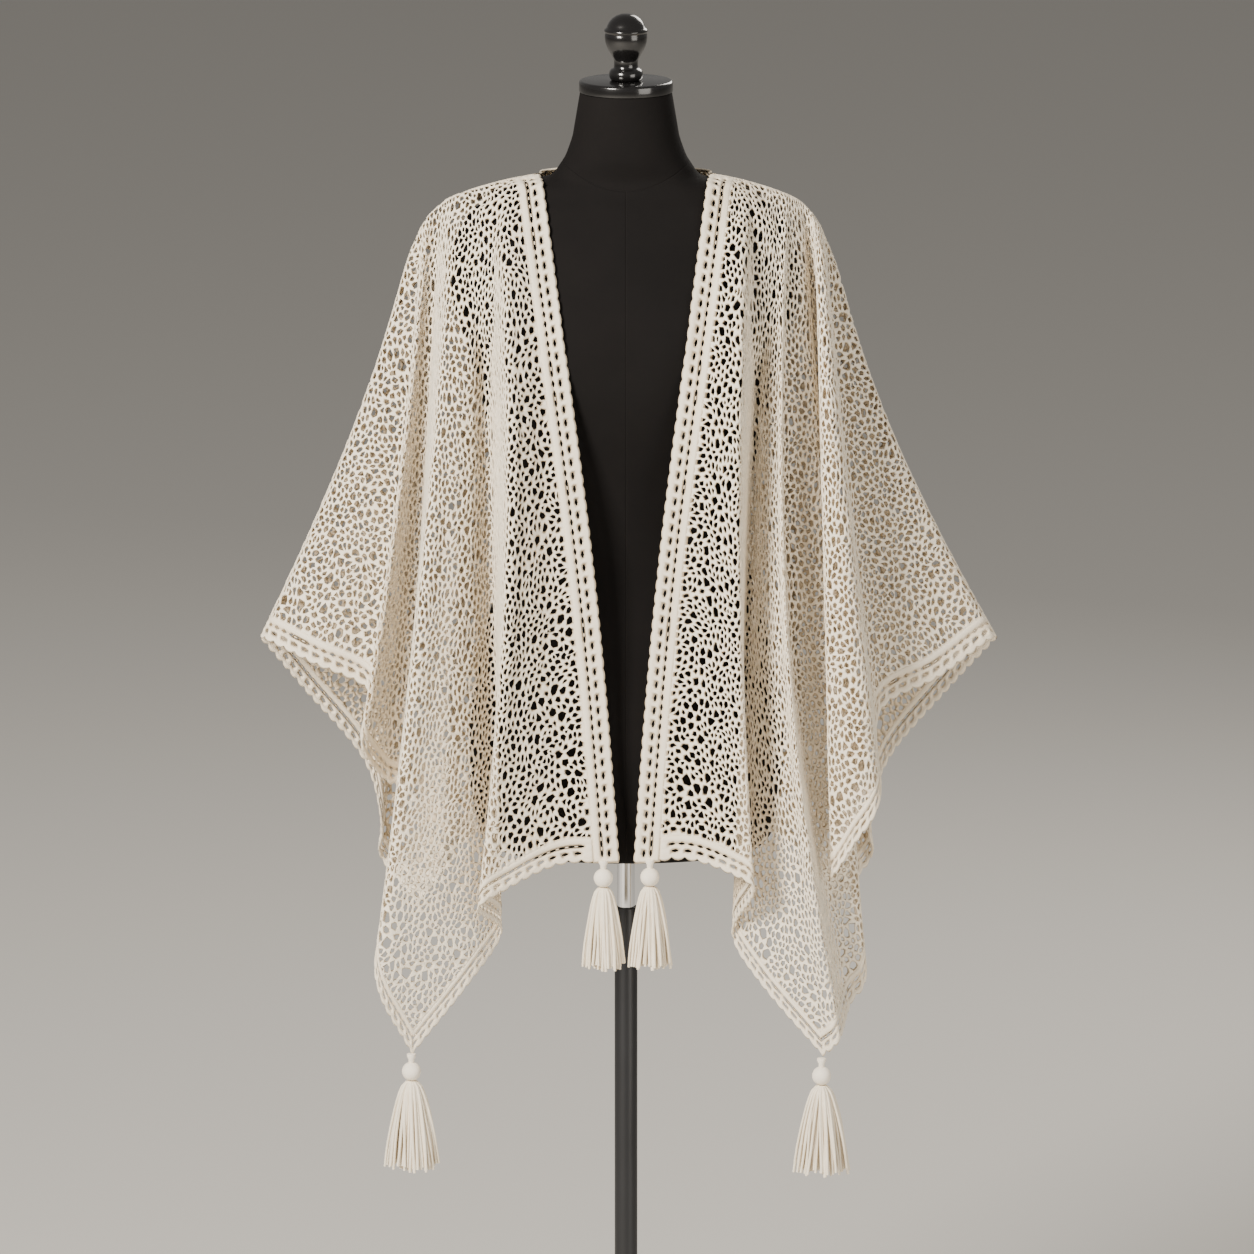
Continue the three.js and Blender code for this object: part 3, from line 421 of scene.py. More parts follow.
def drape(side, facing, folds):
    """The draped cloth of one side, as a function of fold lines and fractions of the way down them. It
    leaves the shoulder nearly level and lies closest to the form at the seam."""
    seam_points = [(x, SHOULDER_PLANE_Y, z) for x, z in SHOULDER_LINE[side]]
    neck_points = [(side * x, y, z) for x, y, z in reversed(BACK_NECKLINE)]
    seam_line, neck_line = line_through(seam_points), line_through([seam_points[0], *neck_points])
    level_share, level_power = 0.85, 12
    seam_clearance, further_clearance, lifting_part = 2.6, 1.4, 0.07

    def points_at(fold, at):
        fold, at = np.broadcast_arrays(np.asarray(fold, float), np.asarray(at, float))
        shape, fold, at = fold.shape, fold.ravel(), at.ravel()
        seam = along(folds, "seam", fold)
        top = np.where((seam >= 0)[:, None], seam_line(np.abs(seam)), neck_line(np.abs(seam)))
        end = np.stack([along(folds, key, fold) for key in ("x", "y", "z")], -1)
        fallen = 1 - (1 - at) ** along(folds, "ease", fold)
        point = top + (end - top) * at[:, None]
        point[:, 0] += along(folds, "bow", fold) * np.sin(pi * at)
        point[:, 1] = top[:, 1] + (end[:, 1] - top[:, 1]) * fallen
        lowered = at - level_share * at * (1 - at) ** level_power
        point[:, 2] = top[:, 2] + (end[:, 2] - top[:, 2]) * lowered
        clearance = seam_clearance + further_clearance * np.minimum(1, at / lifting_part)
        lifted = lift_off_form(point.copy(), clearance)
        point = np.where((at > 0)[:, None], lifted, point)
        point[:, 1] = facing * np.maximum(facing * point[:, 1], facing * SHOULDER_PLANE_Y)
        return point.reshape(*shape, 3)

    return points_at


class Cloth:
    """One panel of draped cloth as a fine grid of points, with the same grid laid out flat. Its columns
    run across from the first fold line to the last, and its rows from the shoulder to the rim. across,
    down and below are lengths over the cloth from the front edge, the shoulder and the rim."""

    def __init__(self, side, facing, points):
        self.facing = facing
        if facing == FRONT:
            out = points[:, 0] - points[:, 1]
            out /= np.linalg.norm(out, axis=1)[:, None]
            points = np.concatenate([(points[:, 0] + out * EDGING_WIDTH)[:, None], points], axis=1)
        self.points = points
        across = np.linalg.norm(np.diff(points, axis=1), axis=2)
        down = np.linalg.norm(np.diff(points, axis=0), axis=2)
        self.across = np.concatenate([np.zeros((len(points), 1)), np.cumsum(across, axis=1)], axis=1)
        if facing == FRONT:
            self.across -= EDGING_WIDTH
        self.down = np.concatenate([np.zeros((1, points.shape[1])), np.cumsum(down, axis=0)])
        self.below = self.down[-1] - self.down
        normals = np.cross(np.gradient(points, axis=0), np.gradient(points, axis=1))
        self.normals = -side * facing * normals / np.linalg.norm(normals, axis=2)[..., None]
        self.flat = self.lay_flat()

    def lay_flat(self):
        """Relaxes the grid in the plane until its edges have their draped lengths again. It starts from an
        oversize fan, and where it would fold over itself it is smoothed the most."""
        oversize, rounds, carried, share, least_opening = 1.3, 1000, 0.8, 3.2, 0.02
        tightest, smoothing, unfolding = 0.5, 0.05, 0.7
        points = self.points
        sides = [
            (slice(None), slice(None, -1), slice(None), slice(1, None)),
            (slice(None, -1), slice(None), slice(1, None), slice(None)),
            (slice(None, -1), slice(None, -1), slice(1, None), slice(1, None)),
            (slice(None, -1), slice(1, None), slice(1, None), slice(None, -1)),
        ]
        lengths = [np.linalg.norm(points[c, d] - points[a, b], axis=2) for a, b, c, d in sides]
        first, last = lengths[0][0], lengths[0][-1]
        opening = np.maximum(last - first, least_opening * last) / self.down[-1].mean()
        turn = np.r_[0, np.cumsum(opening)]
        radius = first.sum() / turn[-1] + self.down
        flat = oversize * np.stack([radius * np.sin(turn), -radius * np.cos(turn)], -1)
        ends = (slice(None, -1), slice(1, None))
        corners = [(a, b) for a in ends for b in ends]
        wanted = lengths[2] * lengths[3] / 2
        speed = np.zeros_like(flat)
        for _ in range(rounds):
            moves = np.zeros_like(flat)
            for (a, b, c, d), length in zip(sides, lengths):
                span = flat[c, d] - flat[a, b]
                now = np.linalg.norm(span, axis=2)
                pull = span * ((now - length) / np.maximum(now, 1e-6))[..., None] * 0.5
                moves[a, b] += pull
                moves[c, d] -= pull
            speed = carried * speed + moves / share
            flat += speed
            one, other = flat[1:, 1:] - flat[:-1, :-1], flat[1:, :-1] - flat[:-1, 1:]
            tight = one[..., 0] * other[..., 1] - one[..., 1] * other[..., 0]
            tight = tight * np.sign(np.median(tight)) < tightest * wanted
            near = np.zeros(flat.shape[:2], bool)
            for corner in corners:
                near[corner] |= tight
            padded = np.pad(flat, ((1, 1), (1, 1), (0, 0)), mode="reflect", reflect_type="odd")
            middle = (padded[:-2, 1:-1] + padded[2:, 1:-1] + padded[1:-1, :-2] + padded[1:-1, 2:]) / 4
            flat += (smoothing + unfolding * near[..., None]) * (middle - flat)
        return flat

    def at(self, row, column, field):
        """A field's values at fractional rows and columns of the grid."""
        rows, columns = field.shape[:2]
        row, column = np.clip(row, 0, rows - 1), np.clip(column, 0, columns - 1)
        r, c = np.minimum(row.astype(int), rows - 2), np.minimum(column.astype(int), columns - 2)
        tail = (1,) * (field.ndim - 2)
        fr, fc = (row - r).reshape(*row.shape, *tail), (column - c).reshape(*row.shape, *tail)
        upper = field[r, c] * (1 - fc) + field[r, c + 1] * fc
        lower = field[r + 1, c] * (1 - fc) + field[r + 1, c + 1] * fc
        return upper * (1 - fr) + lower * fr


ROWS_DOWN = np.r_[np.linspace(0, 0.2, 22), np.linspace(0.2, 1, 64)[1:]]
FACETS = 5
cloths, back_halves = {}, []


def fine_folds(folds):
    """Fractional numbers of the fold lines, in FACETS steps from each to the next."""
    last = len(folds) - 1
    return np.linspace(0, last, last * FACETS + 1)


for side, name in ((RIGHT, "front_right"), (LEFT, "front_left")):
    folds = FRONT_FOLDS[side]
    grid = drape(side, FRONT, folds)(fine_folds(folds)[None, :], ROWS_DOWN[:, None])
    cloths[name] = Cloth(side, FRONT, grid)
    folds = [{**fold, "x": side * fold["x"], "bow": side * fold["bow"]} for fold in BACK_FOLDS] + [folds[-1]]
    back_halves.append(drape(side, BACK, folds)(fine_folds(folds)[None, :], ROWS_DOWN[:, None]))
back_halves[1][:, 0, 0] = 0
back = np.concatenate([back_halves[0][:, :0:-1], back_halves[1]], axis=1)
cloths["back"] = Cloth(LEFT, BACK, back)
CENTRE_BACK = back.shape[1] // 2

# Lace net of cream cotton, one panel for each front and one for the back, worked as cords round irregular
# holes. The holes are strewn over the panel laid out flat, and what is left between them is the cords. They
# are then laid back on the drape, flat on the inside and raised to a ridge on the outside.
BAND = 27
OVERLAP = 4
NET_STARTS = {FRONT: BAND - EDGING_WIDTH, BACK: OVERLAP}
SHOULDER_JOIN = 3
CORD_HEIGHT = 1.5
LARGE_HOLE, MIDDLE_HOLE = 8.4, 5.6
SMALL_HOLE = {FRONT: 3.75, BACK: 4.1}
HOLE_LENGTH = 1.9
LARGE_SHARE, MIDDLE_SHARE = 0.0015, 0.014
# The larger holes gather beside the front bands, above the hem and on the yoke: how far from the front edge,
# the rim and the shoulder, how far round that, and the share of them there.
LARGE_HOLE_PLACES = [(42, 13, 0.012), (62, 26, 0.01), (95, 70, 0.008)]


def yarn_finish(name, light, shade_and_patch_colour):
    """Cream cotton: matt, with painted shade: each cord is coloured lighter on its top and darker down in its
    hollows, besides darker patches at random and a twisted ply as bump. How high a point lies on its cord is
    kept in the attribute "height", which sets that painted shade."""
    yarn = Finish(name, Roughness=0.88)
    place = yarn.place()
    height = yarn.node("ShaderNodeAttribute", {"attribute_name": "height"}, output="Fac")
    ply = yarn.noise(place, 900, 2, 0.6)
    patches = yarn.noise(place, 38, 3)
    # Painted shade: the low parts of each cord take the darker colour by their height, mixed with random ply
    # and patches.
    share = yarn.node("ShaderNodeClamp", {}, {"Value": height * 0.8 + ply * 0.3 + patches * 0.3 - 0.3})
    yarn.set("Base Color", yarn.mix(share, (*shade_and_patch_colour, 1), (*light, 1)))
    yarn.bump(ply, 0.4, 0.0006)
    return yarn


# The second colour is painted shade for the hollows of the cords, and also the colour of the darker random
# patches.
net_yarn = yarn_finish("net_yarn", (0.97, 0.885, 0.735), (0.76, 0.625, 0.44))


def hole_radii(across, down, below, share, smallest):
    """Radii of the holes by where they lie and by chance."""
    large = LARGE_SHARE
    for length, (middle, reach, more) in zip((across, below, down), LARGE_HOLE_PLACES):
        large = large + more * np.exp(-(((length - middle) / reach) ** 2))
    middling = MIDDLE_SHARE + 2 * large
    return np.where(share < large, LARGE_HOLE, np.where(share < middling, MIDDLE_HOLE, smallest))


def strewn_holes(cloth, rng):
    """Hole centres and radii in the flat cloth, no two closer than their radii allow, the larger ones first.
    Each is longer down the cloth than across."""
    flat, candidate_area, clear_of_side, bucket = cloth.flat, 3, 4, 13.5
    rows, columns = flat.shape[:2]
    one, other = flat[1:, 1:] - flat[:-1, :-1], flat[1:, :-1] - flat[:-1, 1:]
    areas = np.abs(one[..., 0] * other[..., 1] - one[..., 1] * other[..., 0]).ravel() / 2
    count = int(areas.sum() / candidate_area)
    cells = rng.choice(areas.size, count, p=areas / areas.sum())
    row = cells // (columns - 1) + rng.random(count)
    column = cells % (columns - 1) + rng.random(count)
    fields = np.stack([cloth.across, cloth.down, cloth.below], -1)
    across, down, below = cloth.at(row, column, fields).T
    places = cloth.at(row, column, flat)
    last = np.linalg.norm(places - cloth.at(row, np.full(count, columns - 1.0), flat), axis=1)
    inside = (across > NET_STARTS[cloth.facing]) & (down > SHOULDER_JOIN) & (below > BAND)
    inside &= last > clear_of_side
    ray = cloth.at(row + 0.5, column, flat) - cloth.at(row - 0.5, column, flat)
    ray /= np.linalg.norm(ray, axis=1)[:, None] + 1e-9
    if cloth.facing == BACK:
        across = np.abs(across - cloth.across[0, CENTRE_BACK])
    radii = hole_radii(across, down, below, rng.random(count), SMALL_HOLE[cloth.facing])
    order = np.argsort(-radii, kind="stable")
    order = order[inside[order]]
    kept, buckets = [], {}
    for x, y, ray_x, ray_y, radius in zip(*places[order].T, *ray[order].T, radii[order]):
        i, j = int(x // bucket), int(y // bucket)
        around = [(a, b) for a in (i - 1, i, i + 1) for b in (j - 1, j, j + 1)]
        near = [hole for key in around for hole in buckets.get(key, ())]
        for other_x, other_y, other_radius in near:
            dx, dy = x - other_x, y - other_y
            lengthways, sideways = (dx * ray_x + dy * ray_y) / HOLE_LENGTH, dx * ray_y - dy * ray_x
            if 4 * (lengthways**2 + sideways**2) < (radius + other_radius) ** 2:
                break
        else:
            kept.append((x, y, radius))
            buckets.setdefault((i, j), []).append((x, y, radius))
    return np.array(kept)


def net_outline(cloth):
    """The net's outline in the flat cloth: the shoulder, the side, the hem and the front edge."""
    shoulder_steps, side_steps, hem_steps = 44, 150, 260
    front = NET_STARTS[cloth.facing]
    rows, columns = (np.arange(count, dtype=float) for count in cloth.across.shape)
    rim = np.array([np.interp(OVERLAP - BAND, -cloth.below[:, int(c)], rows) for c in columns])
    edge = np.array([np.interp(front - OVERLAP, cloth.across[int(r)], columns) for r in rows])
    low = rim[int(edge[int(rim[1])])]
    across_hem = np.linspace(columns[-1], np.interp(low, rows, edge), hem_steps)[1:]
    shoulder = [(0, c) for c in np.linspace(edge[0], columns[-1], shoulder_steps)]
    outer = [(r, columns[-1]) for r in np.linspace(0, rim[-1], side_steps)[1:]]
    hem = [(np.interp(c, columns, rim), c) for c in across_hem]
    inner = [(r, np.interp(r, rows, edge)) for r in np.linspace(low, 0, side_steps)[1:-1]]
    outline = np.array(shoulder + outer + hem + inner)
    return cloth.at(outline[:, 0], outline[:, 1], cloth.flat)


def laid_on_drape(cloth, flat_points):
    """Points and normals of the drape for points of the flat cloth."""
    rows, columns = cloth.flat.shape[:2]
    corner = np.arange(rows * columns).reshape(rows, columns)
    a, b, c, d = (x.ravel() for x in (corner[:-1, :-1], corner[:-1, 1:], corner[1:, 1:], corner[1:, :-1]))
    triangles = np.concatenate([np.stack([a, b, c], 1), np.stack([a, c, d], 1)])
    flat = cloth.flat.reshape(-1, 2)
    tree = BVHTree.FromPolygons([(x, y, 0) for x, y in flat], triangles.tolist())
    found = [tree.find_nearest((x, y, 0)) for x, y in flat_points]
    corners = triangles[[index for _, _, index, _ in found]]
    nearest = np.array([place[:2] for place, _, _, _ in found])
    p, q, r = (flat[corners[:, k]] for k in range(3))
    sides = np.stack([q - p, r - p], 2)
    share = np.linalg.solve(sides + np.eye(2) * 1e-9, (nearest - p)[..., None])[..., 0]
    weights = np.column_stack([1 - share.sum(1), share])[..., None]
    on_drape, normals = (
        (field.reshape(-1, 3)[corners] * weights).sum(1) for field in (cloth.points, cloth.normals)
    )
    return on_drape, normals / np.linalg.norm(normals, axis=1)[:, None]


def cloth_piece(name, bm, place, middle, height, yarn, replaced):
    """Makes flat cloth a piece on the drape. place gives the drape's points and normals there, and z is how
    high the yarn stands, from the cloth's middle to its full height."""
    mesh = bpy.data.meshes.new(name)
    bm.to_mesh(mesh)
    bm.free()
    places = np.empty(len(mesh.vertices) * 3)
    mesh.vertices.foreach_get("co", places)
    places = places.reshape(-1, 3)
    on_drape, normals = place(places[:, 0], places[:, 1])
    laid = (on_drape + normals * (places[:, 2:] - middle)) * MM
    mesh.vertices.foreach_set("co", laid.ravel())
    # The attribute "height" sets the yarn's painted shade: the lower a point lies on its cord, the darker it
    # is coloured.
    heights = np.abs(places[:, 2]) / height
    mesh.attributes.new("height", "FLOAT", "POINT").data.foreach_set("value", heights)
    mesh.update()
    return add_piece(name, mesh, yarn, "form", [replaced], None)


def lace_net(cloth, rng):
    """A net of cords in the flat cloth, in millimetres. Every hole is the bevelled corner of the triangles
    between the hole centres, opened more or less by chance."""
    least_opening, most_opening, bevel_share = 0.45, 1.26, 35
    holes, outline = strewn_holes(cloth, rng), net_outline(cloth)
    points = [Vector(p) for p in outline] + [Vector(hole[:2]) for hole in holes]
    edges = [(k, (k + 1) % len(outline)) for k in range(len(outline))]
    found, _, triangles, sources, _, _ = delaunay_2d_cdt(points, edges, [], 1, 1e-3)
    mesh = bpy.data.meshes.new("net")
    mesh.from_pydata([(x, y, 0) for x, y in found], [], triangles)
    bm = bmesh.new()
    bm.from_mesh(mesh)
    bpy.data.meshes.remove(mesh)
    bm.verts.ensure_lookup_table()
    first = len(outline)
    radius_of = [holes[s[0] - first, 2] if s and s[0] >= first else 0 for s in sources]
    centres, scales = [], []
    for vert, radius in zip(bm.verts, radius_of):
        if radius and vert.link_faces:
            near = [radius_of[edge.other_vert(vert).index] or radius for edge in vert.link_edges]
            opening = rng.uniform(0.68, 1.16) * 2 * radius / (radius + sum(near) / len(near))
            scales.append(min(most_opening, max(least_opening, opening)))
            centres.append(vert)
    places = [vert.co.copy() for vert in centres]
    bevelled = bmesh.ops.bevel(
        bm, geom=centres, offset=bevel_share, offset_type="PERCENT", affect="VERTICES", segments=1,
        profile=0.5, material=-1,
    )
    finder = KDTree(len(places))
    for k, place in enumerate(places):
        finder.insert(place, k)
    finder.balance()
    for face in bevelled["faces"]:
        centre, k, _ = finder.find(face.calc_center_median())
        for vert in face.verts:
            vert.co = centre + (vert.co - centre) * scales[k]
    bmesh.ops.delete(bm, geom=bevelled["faces"], context="FACES_ONLY")
    bmesh.ops.delete(bm, geom=[vert for vert in bm.verts if not vert.link_faces], context="VERTS")
    inside = bmesh.ops.duplicate(bm, geom=bm.faces[:] + bm.edges[:] + bm.verts[:])
    inner_faces = [item for item in inside["geom"] if isinstance(item, bmesh.types.BMFace)]
    inner_edges = {item for item in inside["geom"] if isinstance(item, bmesh.types.BMEdge)}
    bmesh.ops.reverse_faces(bm, faces=inner_faces)
    necks = [edge for edge in bm.edges if len(edge.link_faces) == 2 and edge not in inner_edges]
    cut = bmesh.ops.subdivide_edges(bm, edges=necks, cuts=1)
    ridge = [item for item in cut["geom_inner"] if isinstance(item, bmesh.types.BMVert)]
    bmesh.ops.connect_verts(bm, verts=ridge)
    for vert in ridge:
        vert.co.z = CORD_HEIGHT
    bmesh.ops.remove_doubles(bm, verts=bm.verts, dist=1e-3)
    return bm


nets = {}
for number, (name, cloth) in enumerate(cloths.items()):
    net = lace_net(cloth, np.random.default_rng(number + 5))
    nets[name] = cloth_piece(
        f"{name}_net", net, lambda x, y: laid_on_drape(cloth, np.stack([x, y], 1)), CORD_HEIGHT / 2,
        CORD_HEIGHT, net_yarn, f"{name}_lace",
    )

# Crochet borders along the front edges, the hem and side edges, and the back of the neck: close rows of cord
# with two rows of slots between them and a scalloped rim. Across a border the rows run at these distances
# from the rim, with these heights.
ROWS = [
    (0, 0), (2.6, 1.2), (5.4, 0.7), (8.6, 1.2), (11.4, 1.2), (13.6, 0.7), (15.8, 1.2), (18.2, 1.2),
    (20.4, 0.7), (23.2, 1.1), (BAND, 0.3),
]
ROW_HEIGHT = 1.2
STITCH = 3.3
SCALLOP_STITCHES = 4
SCALLOP_ROWS = 3
FRONT_SCALLOP, HEM_SCALLOP, NECK_SCALLOP = 1.4, 3.4, 1.2
SLOT_ROWS = {3: (4, 2), 6: (3, 2)}
SLOT_SPREADS = {4: (0.2, -0.75), 3: (0.2 * 0.8, -0.75 * 0.8)}
# The second colour is painted shade where the rows dip at the rims and slots, and also the colour of the
# darker random patches.
border_yarn = yarn_finish("border_yarn", (0.97, 0.885, 0.735), (0.78, 0.655, 0.48))


def border(name, length, scallop, place, replaced):
    """A border of a length, laid on the drape by the function place(along, from_rim). In a row of slots,
    two cells in every three or four are left open, and the cords beside them spread apart."""
    bm = bmesh.new()
    columns, rows = round(length / STITCH), len(ROWS) - 1
    bmesh.ops.create_grid(bm, x_segments=columns, y_segments=rows, size=1)
    cells = []
    for face in bm.faces:
        centre = face.calc_center_median()
        i, j = int((centre.x + 1) / 2 * columns), int((centre.y + 1) / 2 * rows)
        every, open_cells = SLOT_ROWS.get(j, (1, 0))
        if i % every < open_cells and 1 < i < columns - 2:
            cells.append(face)
    for vert in bm.verts:
        i, j = round((vert.co.x + 1) / 2 * columns), round((vert.co.y + 1) / 2 * rows)
        from_rim, height = ROWS[j]
        for first, (every, _) in SLOT_ROWS.items():
            if j in (first, first + 1):
                spread = SLOT_SPREADS[every][i % every != 1]
                from_rim += spread if j > first else -spread
        if j < SCALLOP_ROWS:
            wave = 1 - abs(sin(pi * i / SCALLOP_STITCHES)) ** 0.7
            from_rim += scallop * wave * (1 - j / SCALLOP_ROWS)
        vert.co = (i * length / columns, from_rim, height)
    bmesh.ops.delete(bm, geom=cells, context="FACES")
    rim = {vert for edge in bm.edges if len(edge.link_faces) == 1 for vert in edge.verts}
    for vert in rim:
        vert.co.z = 0
    inside = bmesh.ops.duplicate(bm, geom=bm.faces[:] + bm.edges[:] + bm.verts[:])["geom"]
    bmesh.ops.reverse_faces(bm, faces=[item for item in inside if isinstance(item, bmesh.types.BMFace)])
    for vert in (item for item in inside if isinstance(item, bmesh.types.BMVert)):
        vert.co.z *= -1
    bmesh.ops.remove_doubles(bm, verts=bm.verts, dist=1e-4)
    return cloth_piece(name, bm, place, 0, ROW_HEIGHT, border_yarn, replaced)


def on_cloth(cloth, row, column):
    """Points and normals of the drape at fractional rows and columns."""
    normals = cloth.at(row, column, cloth.normals)
    return cloth.at(row, column, cloth.points), normals / np.linalg.norm(normals, axis=1)[:, None]


def front_border(cloth, name, replaced):
    """It runs down the front edge and lies partly beyond it."""
    rows, columns = (np.arange(count, dtype=float) for count in cloth.across.shape)
    length = cloth.down[-1, 1]

    def place(down, from_rim):
        row = np.interp(down, cloth.down[:, 1], rows)
        across = [cloth.at(np.full(len(columns), r), columns, cloth.across) for r in row]
        column = np.array([np.interp(d - EDGING_WIDTH, a, columns) for d, a in zip(from_rim, across)])
        return on_cloth(cloth, row, column)

    return border(name, length, FRONT_SCALLOP, place, replaced)


def hem_border(cloth, name, replaced, first, corner_columns):
    """The lower corners fall on the crests of scallops."""
    rows, columns = (np.arange(count, dtype=float) for count in cloth.across.shape)
    rim = cloth.across[-1]
    start = first if first is not None else rim[0]
    length, corners = rim[-1] - start, rim[corner_columns] - start
    stitch = length / round(length / STITCH)
    scallops = np.round(corners / stitch / SCALLOP_STITCHES - 0.5)
    crests = (SCALLOP_STITCHES * scallops + SCALLOP_STITCHES / 2) * stitch

    def place(around, from_rim):
        around = np.interp(around, (0, *crests, length), (0, *corners, length))
        column = np.interp(start + around, rim, columns)
        below = [cloth.at(rows, np.full(len(rows), c), cloth.below) for c in column]
        row = np.array([np.interp(-d, -b, rows) for d, b in zip(from_rim, below)])
        return on_cloth(cloth, row, column)

    return border(name, length, HEM_SCALLOP, place, replaced)


def neck_border(cloth, name, replaced):
    """It stands above the neckline at the back and lies down towards the shoulders."""
    flat_end, fading = 15, 80
    rows, columns = (np.arange(count, dtype=float) for count in cloth.across.shape)
    reach = sum(fold["seam"] < 0 for fold in BACK_FOLDS) * FACETS
    start, end = cloth.across[0, [CENTRE_BACK - reach, CENTRE_BACK + reach]]

    def place(around, from_rim):
        column = np.interp(start + around, cloth.across[0], columns)
        row = np.array([
            np.interp(d - EDGING_WIDTH, cloth.at(rows, np.full(len(rows), c), cloth.down), rows)
            for d, c in zip(from_rim, column)
        ])
        points, normals = on_cloth(cloth, row, column)
        rise = cloth.at(row * 0, column, cloth.points) - cloth.at(row * 0 + 1, column, cloth.points)
        rise /= np.linalg.norm(rise, axis=1)[:, None]
        fade = np.clip((np.minimum(around, end - start - around) - flat_end) / fading, 0, 1)
        return points + rise * (np.maximum(0, EDGING_WIDTH - from_rim) * fade)[:, None], normals

    return border(name, end - start, NECK_SCALLOP, place, replaced)


FRONT_CORNER, BACK_CORNER = 6, 8
borders = {}
for name, cloth in cloths.items():
    if cloth.facing == FRONT:
        edging, start = f"{name}_edging", BAND - EDGING_WIDTH - 2
        borders[name] = [
            front_border(cloth, f"{name}_front_border", edging),
            hem_border(cloth, f"{name}_hem_border", edging, start, [FRONT_CORNER * FACETS + 1]),
        ]
    else:
        corners = [CENTRE_BACK - BACK_CORNER * FACETS, CENTRE_BACK + BACK_CORNER * FACETS]
        borders[name] = [
            hem_border(cloth, "back_hem_border", "back_hem_edging", None, corners),
            neck_border(cloth, "back_neck_border", "back_neck_edging"),
        ]

# Four tassels on the lower corners of the fronts. Each has a round ball of tightly wound yarn on a short
# cord, and a skirt of loose strands with uneven ends.
BALL_RADIUS = 9.5
CORD_RADIUS = 3
ROOT_RADIUS = 5.5
STRANDS = 150
STRAND_RADIUS = 1.4
STRAND_POINTS = 10
SWAY, TWIST, UNEVEN_ENDS = 1.3, 0.25, (-8, -1)
SPREADS = {"inner": 21.5, "outer": 28}
tassel_yarn = Finish("tassel_yarn", Roughness=0.9)
streaks = tassel_yarn.noise(tassel_yarn.place((420, 420, 14)), 1, 2, 0.6)
fuzz = tassel_yarn.noise(tassel_yarn.place(), 1400, 2)
tassel_yarn.set("Base Color", tassel_yarn.mix(streaks, (0.80, 0.68, 0.50, 1), (0.97, 0.90, 0.765, 1)))
tassel_yarn.bump(fuzz, 0.3, 0.0005)
ball_yarn = Finish("ball_yarn", Roughness=0.8)
tint = ball_yarn.noise(ball_yarn.place(), 160, 3)
ball_yarn.set("Base Color", ball_yarn.mix(tint, (0.88, 0.79, 0.65, 1), (0.96, 0.89, 0.77, 1)))
ball_yarn.bump(ball_yarn.noise(ball_yarn.place(), 900, 3), 0.25, 0.0004)

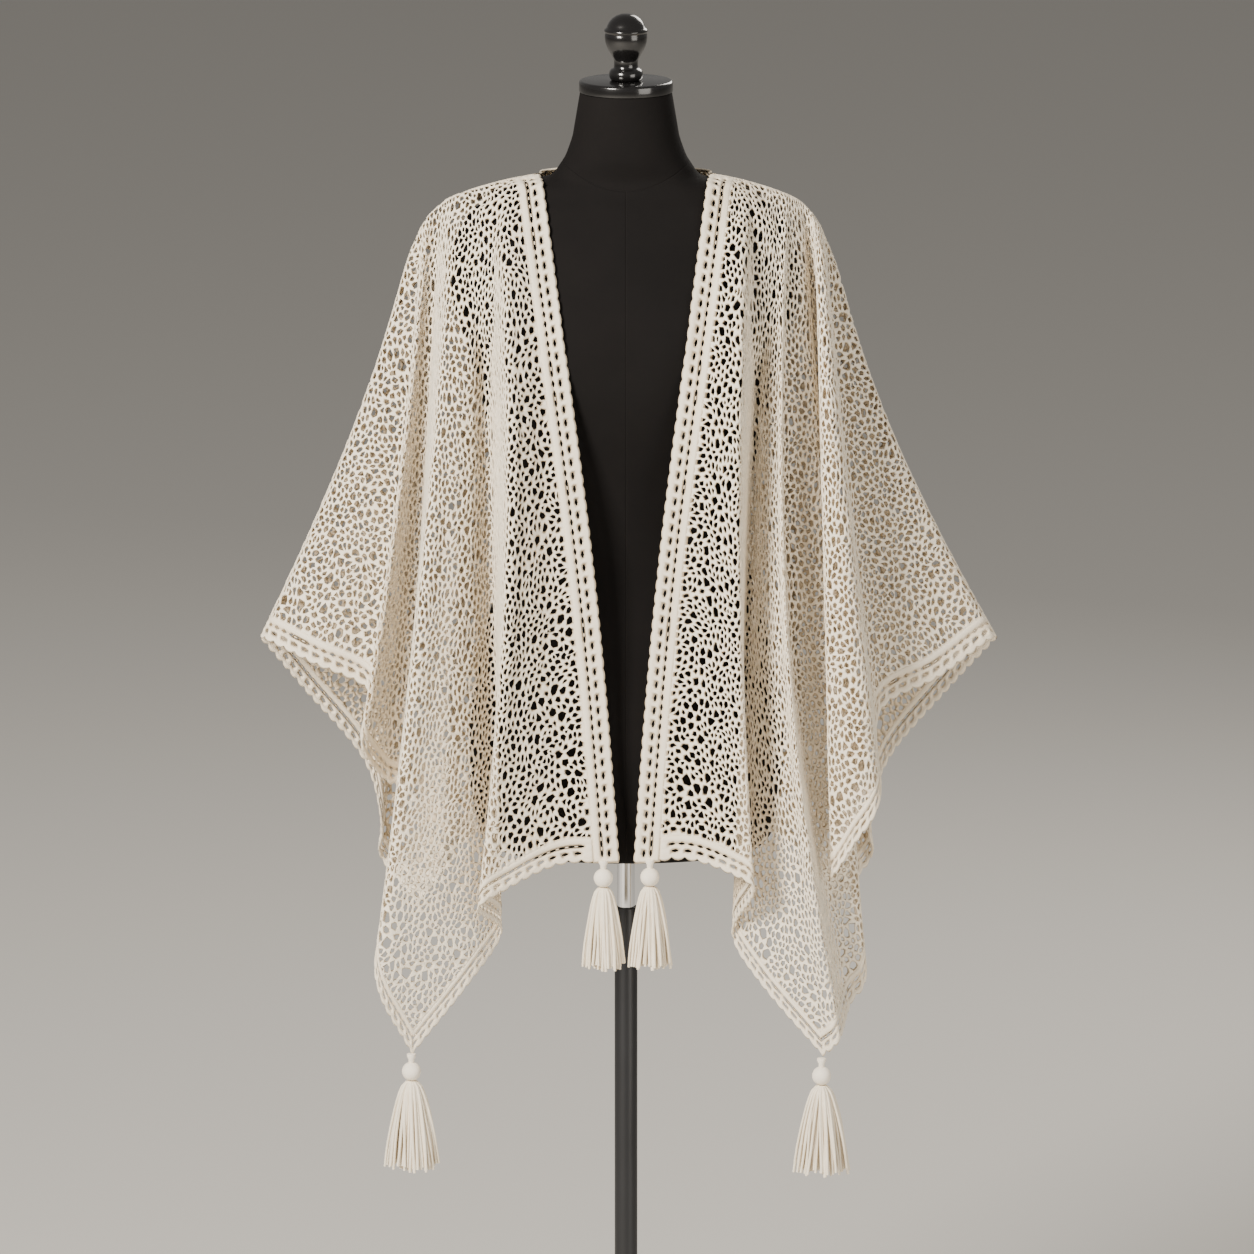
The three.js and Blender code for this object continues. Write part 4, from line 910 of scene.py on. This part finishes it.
tassels = {}
for side in ("right", "left"):
    for place, spread in SPREADS.items():
        name = f"front_{side}_{place}_tassel"
        rng = np.random.default_rng(len(name) + (3 if side == "left" else 0))
        low, high = (Vector(corner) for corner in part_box(f"{name}_bead"))
        centre = (low + high) / 2
        centre.z = low.z + BALL_RADIUS * MM
        arc = [radians(-90 + 165 * step / 22) for step in range(23)]
        profile = [(max(0, BALL_RADIUS * cos(a)), BALL_RADIUS * sin(a)) for a in arc]
        cord = ((0, 0.6), (0, 3), (1.6, 6), (1.4, 8.4), (-CORD_RADIUS, 9.4))
        profile += [(CORD_RADIUS + out, BALL_RADIUS + up) for out, up in cord]
        ball = turned(profile, 40)
        bmesh.ops.translate(ball, verts=ball.verts, vec=centre)
        ball = add_piece(f"{name}_ball", ball, ball_yarn, "form", [f"{name}_bead"])

        low, high = (Vector(corner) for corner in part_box(f"{name}_skirt"))
        length = (high.z - low.z) / MM
        curve = bpy.data.curves.new(f"{name}_strands", "CURVE")
        curve.dimensions = "3D"
        curve.bevel_depth = STRAND_RADIUS * MM
        curve.bevel_resolution = 1
        curve.use_fill_caps = True
        for _ in range(STRANDS):
            turn, out = rng.uniform(0, 2 * pi), sqrt(rng.uniform(0.02, 1))
            sway, twist = rng.uniform(-1, 1, 2) * SWAY, rng.uniform(-TWIST, TWIST)
            cut = rng.uniform(*UNEVEN_ENDS)
            spline = curve.splines.new("POLY")
            spline.points.add(STRAND_POINTS - 1)
            for k, point in enumerate(spline.points):
                part = (k / (STRAND_POINTS - 1)) ** 1.4
                reach = out * (ROOT_RADIUS + (spread - ROOT_RADIUS) * part**0.55)
                reach += 0.7 * sin(6 * part + turn * 3) * part
                angle = turn + twist * part
                x = centre.x + (reach * cos(angle) + sway[0] * part) * MM
                y = centre.y + (reach * sin(angle) + sway[1] * part) * MM
                point.co = (x, y, high.z - (length + cut) * part * MM - 1.5 * out**2 * MM, 1)
        skirt = [f"{name}_skirt"]
        strands = add_piece(curve.name, curve, tassel_yarn, "form", skirt)
        tassels.setdefault(f"front_{side}", []).extend([ball, strands])

# Each panel's net laid flat, inside the borders: its outline, width and length are worked out here but not
# used.
for name, net in nets.items():
    outline = net_outline(cloths[name])
    width, length = np.ptp(outline, axis=0) * MM
    x, y = outline.T * MM
    borders[name] + tassels.get(name, [])

# The camera at the photograph's angle, a pale floor and soft studio light.
camera_data = bpy.data.cameras.new("camera")
camera_data.sensor_width = 36
camera_data.lens = 287.08
camera_data.clip_end = 40
distance, looking_down, aim = 10, 12, 1
camera = bpy.data.objects.new("camera", camera_data)
height = aim + distance * sin(radians(looking_down))
camera.location = (0.001, -distance * cos(radians(looking_down)), height)
camera.rotation_euler = (radians(90 - looking_down), 0, 0)
bpy.context.scene.collection.objects.link(camera)
bpy.context.scene.camera = camera

bm = bmesh.new()
FLOOR_HALF_WIDTH = 60
bmesh.ops.create_grid(bm, x_segments=1, y_segments=1, size=FLOOR_HALF_WIDTH)
mesh = bpy.data.meshes.new("floor")
bm.to_mesh(mesh)
bm.free()
paper = Finish("pale_paper", Base_Color=(0.62, 0.60, 0.56, 1), Roughness=0.9)
mesh.materials.append(paper.material)
floor = bpy.data.objects.new("floor", mesh)
bpy.context.scene.collection.objects.link(floor)

for name, place, target, size, power in (
    ("key_light", (-2.6, -3.4, 3.4), (0, 0, 1.0), 1.5, 500),
    ("fill_light", (3.2, -3.0, 1.8), (0, 0, 0.9), 2.4, 90),
    ("rim_light", (1.4, 3.0, 2.8), (0, 0, 1.1), 1.6, 60),
):
    light_data = bpy.data.lights.new(name, "AREA")
    light_data.size = size
    light_data.energy = power
    light_data.color = (1, 0.95, 0.88)
    light = bpy.data.objects.new(name, light_data)
    light.location = place
    light.rotation_euler = (Vector(target) - Vector(place)).to_track_quat("-Z", "Y").to_euler()
    bpy.context.scene.collection.objects.link(light)
world = bpy.data.worlds.new("studio")
world.use_nodes = True
world.node_tree.nodes["Background"].inputs["Color"].default_value = (1, 0.97, 0.93, 1)
world.node_tree.nodes["Background"].inputs["Strength"].default_value = 0.24
bpy.context.scene.world = world
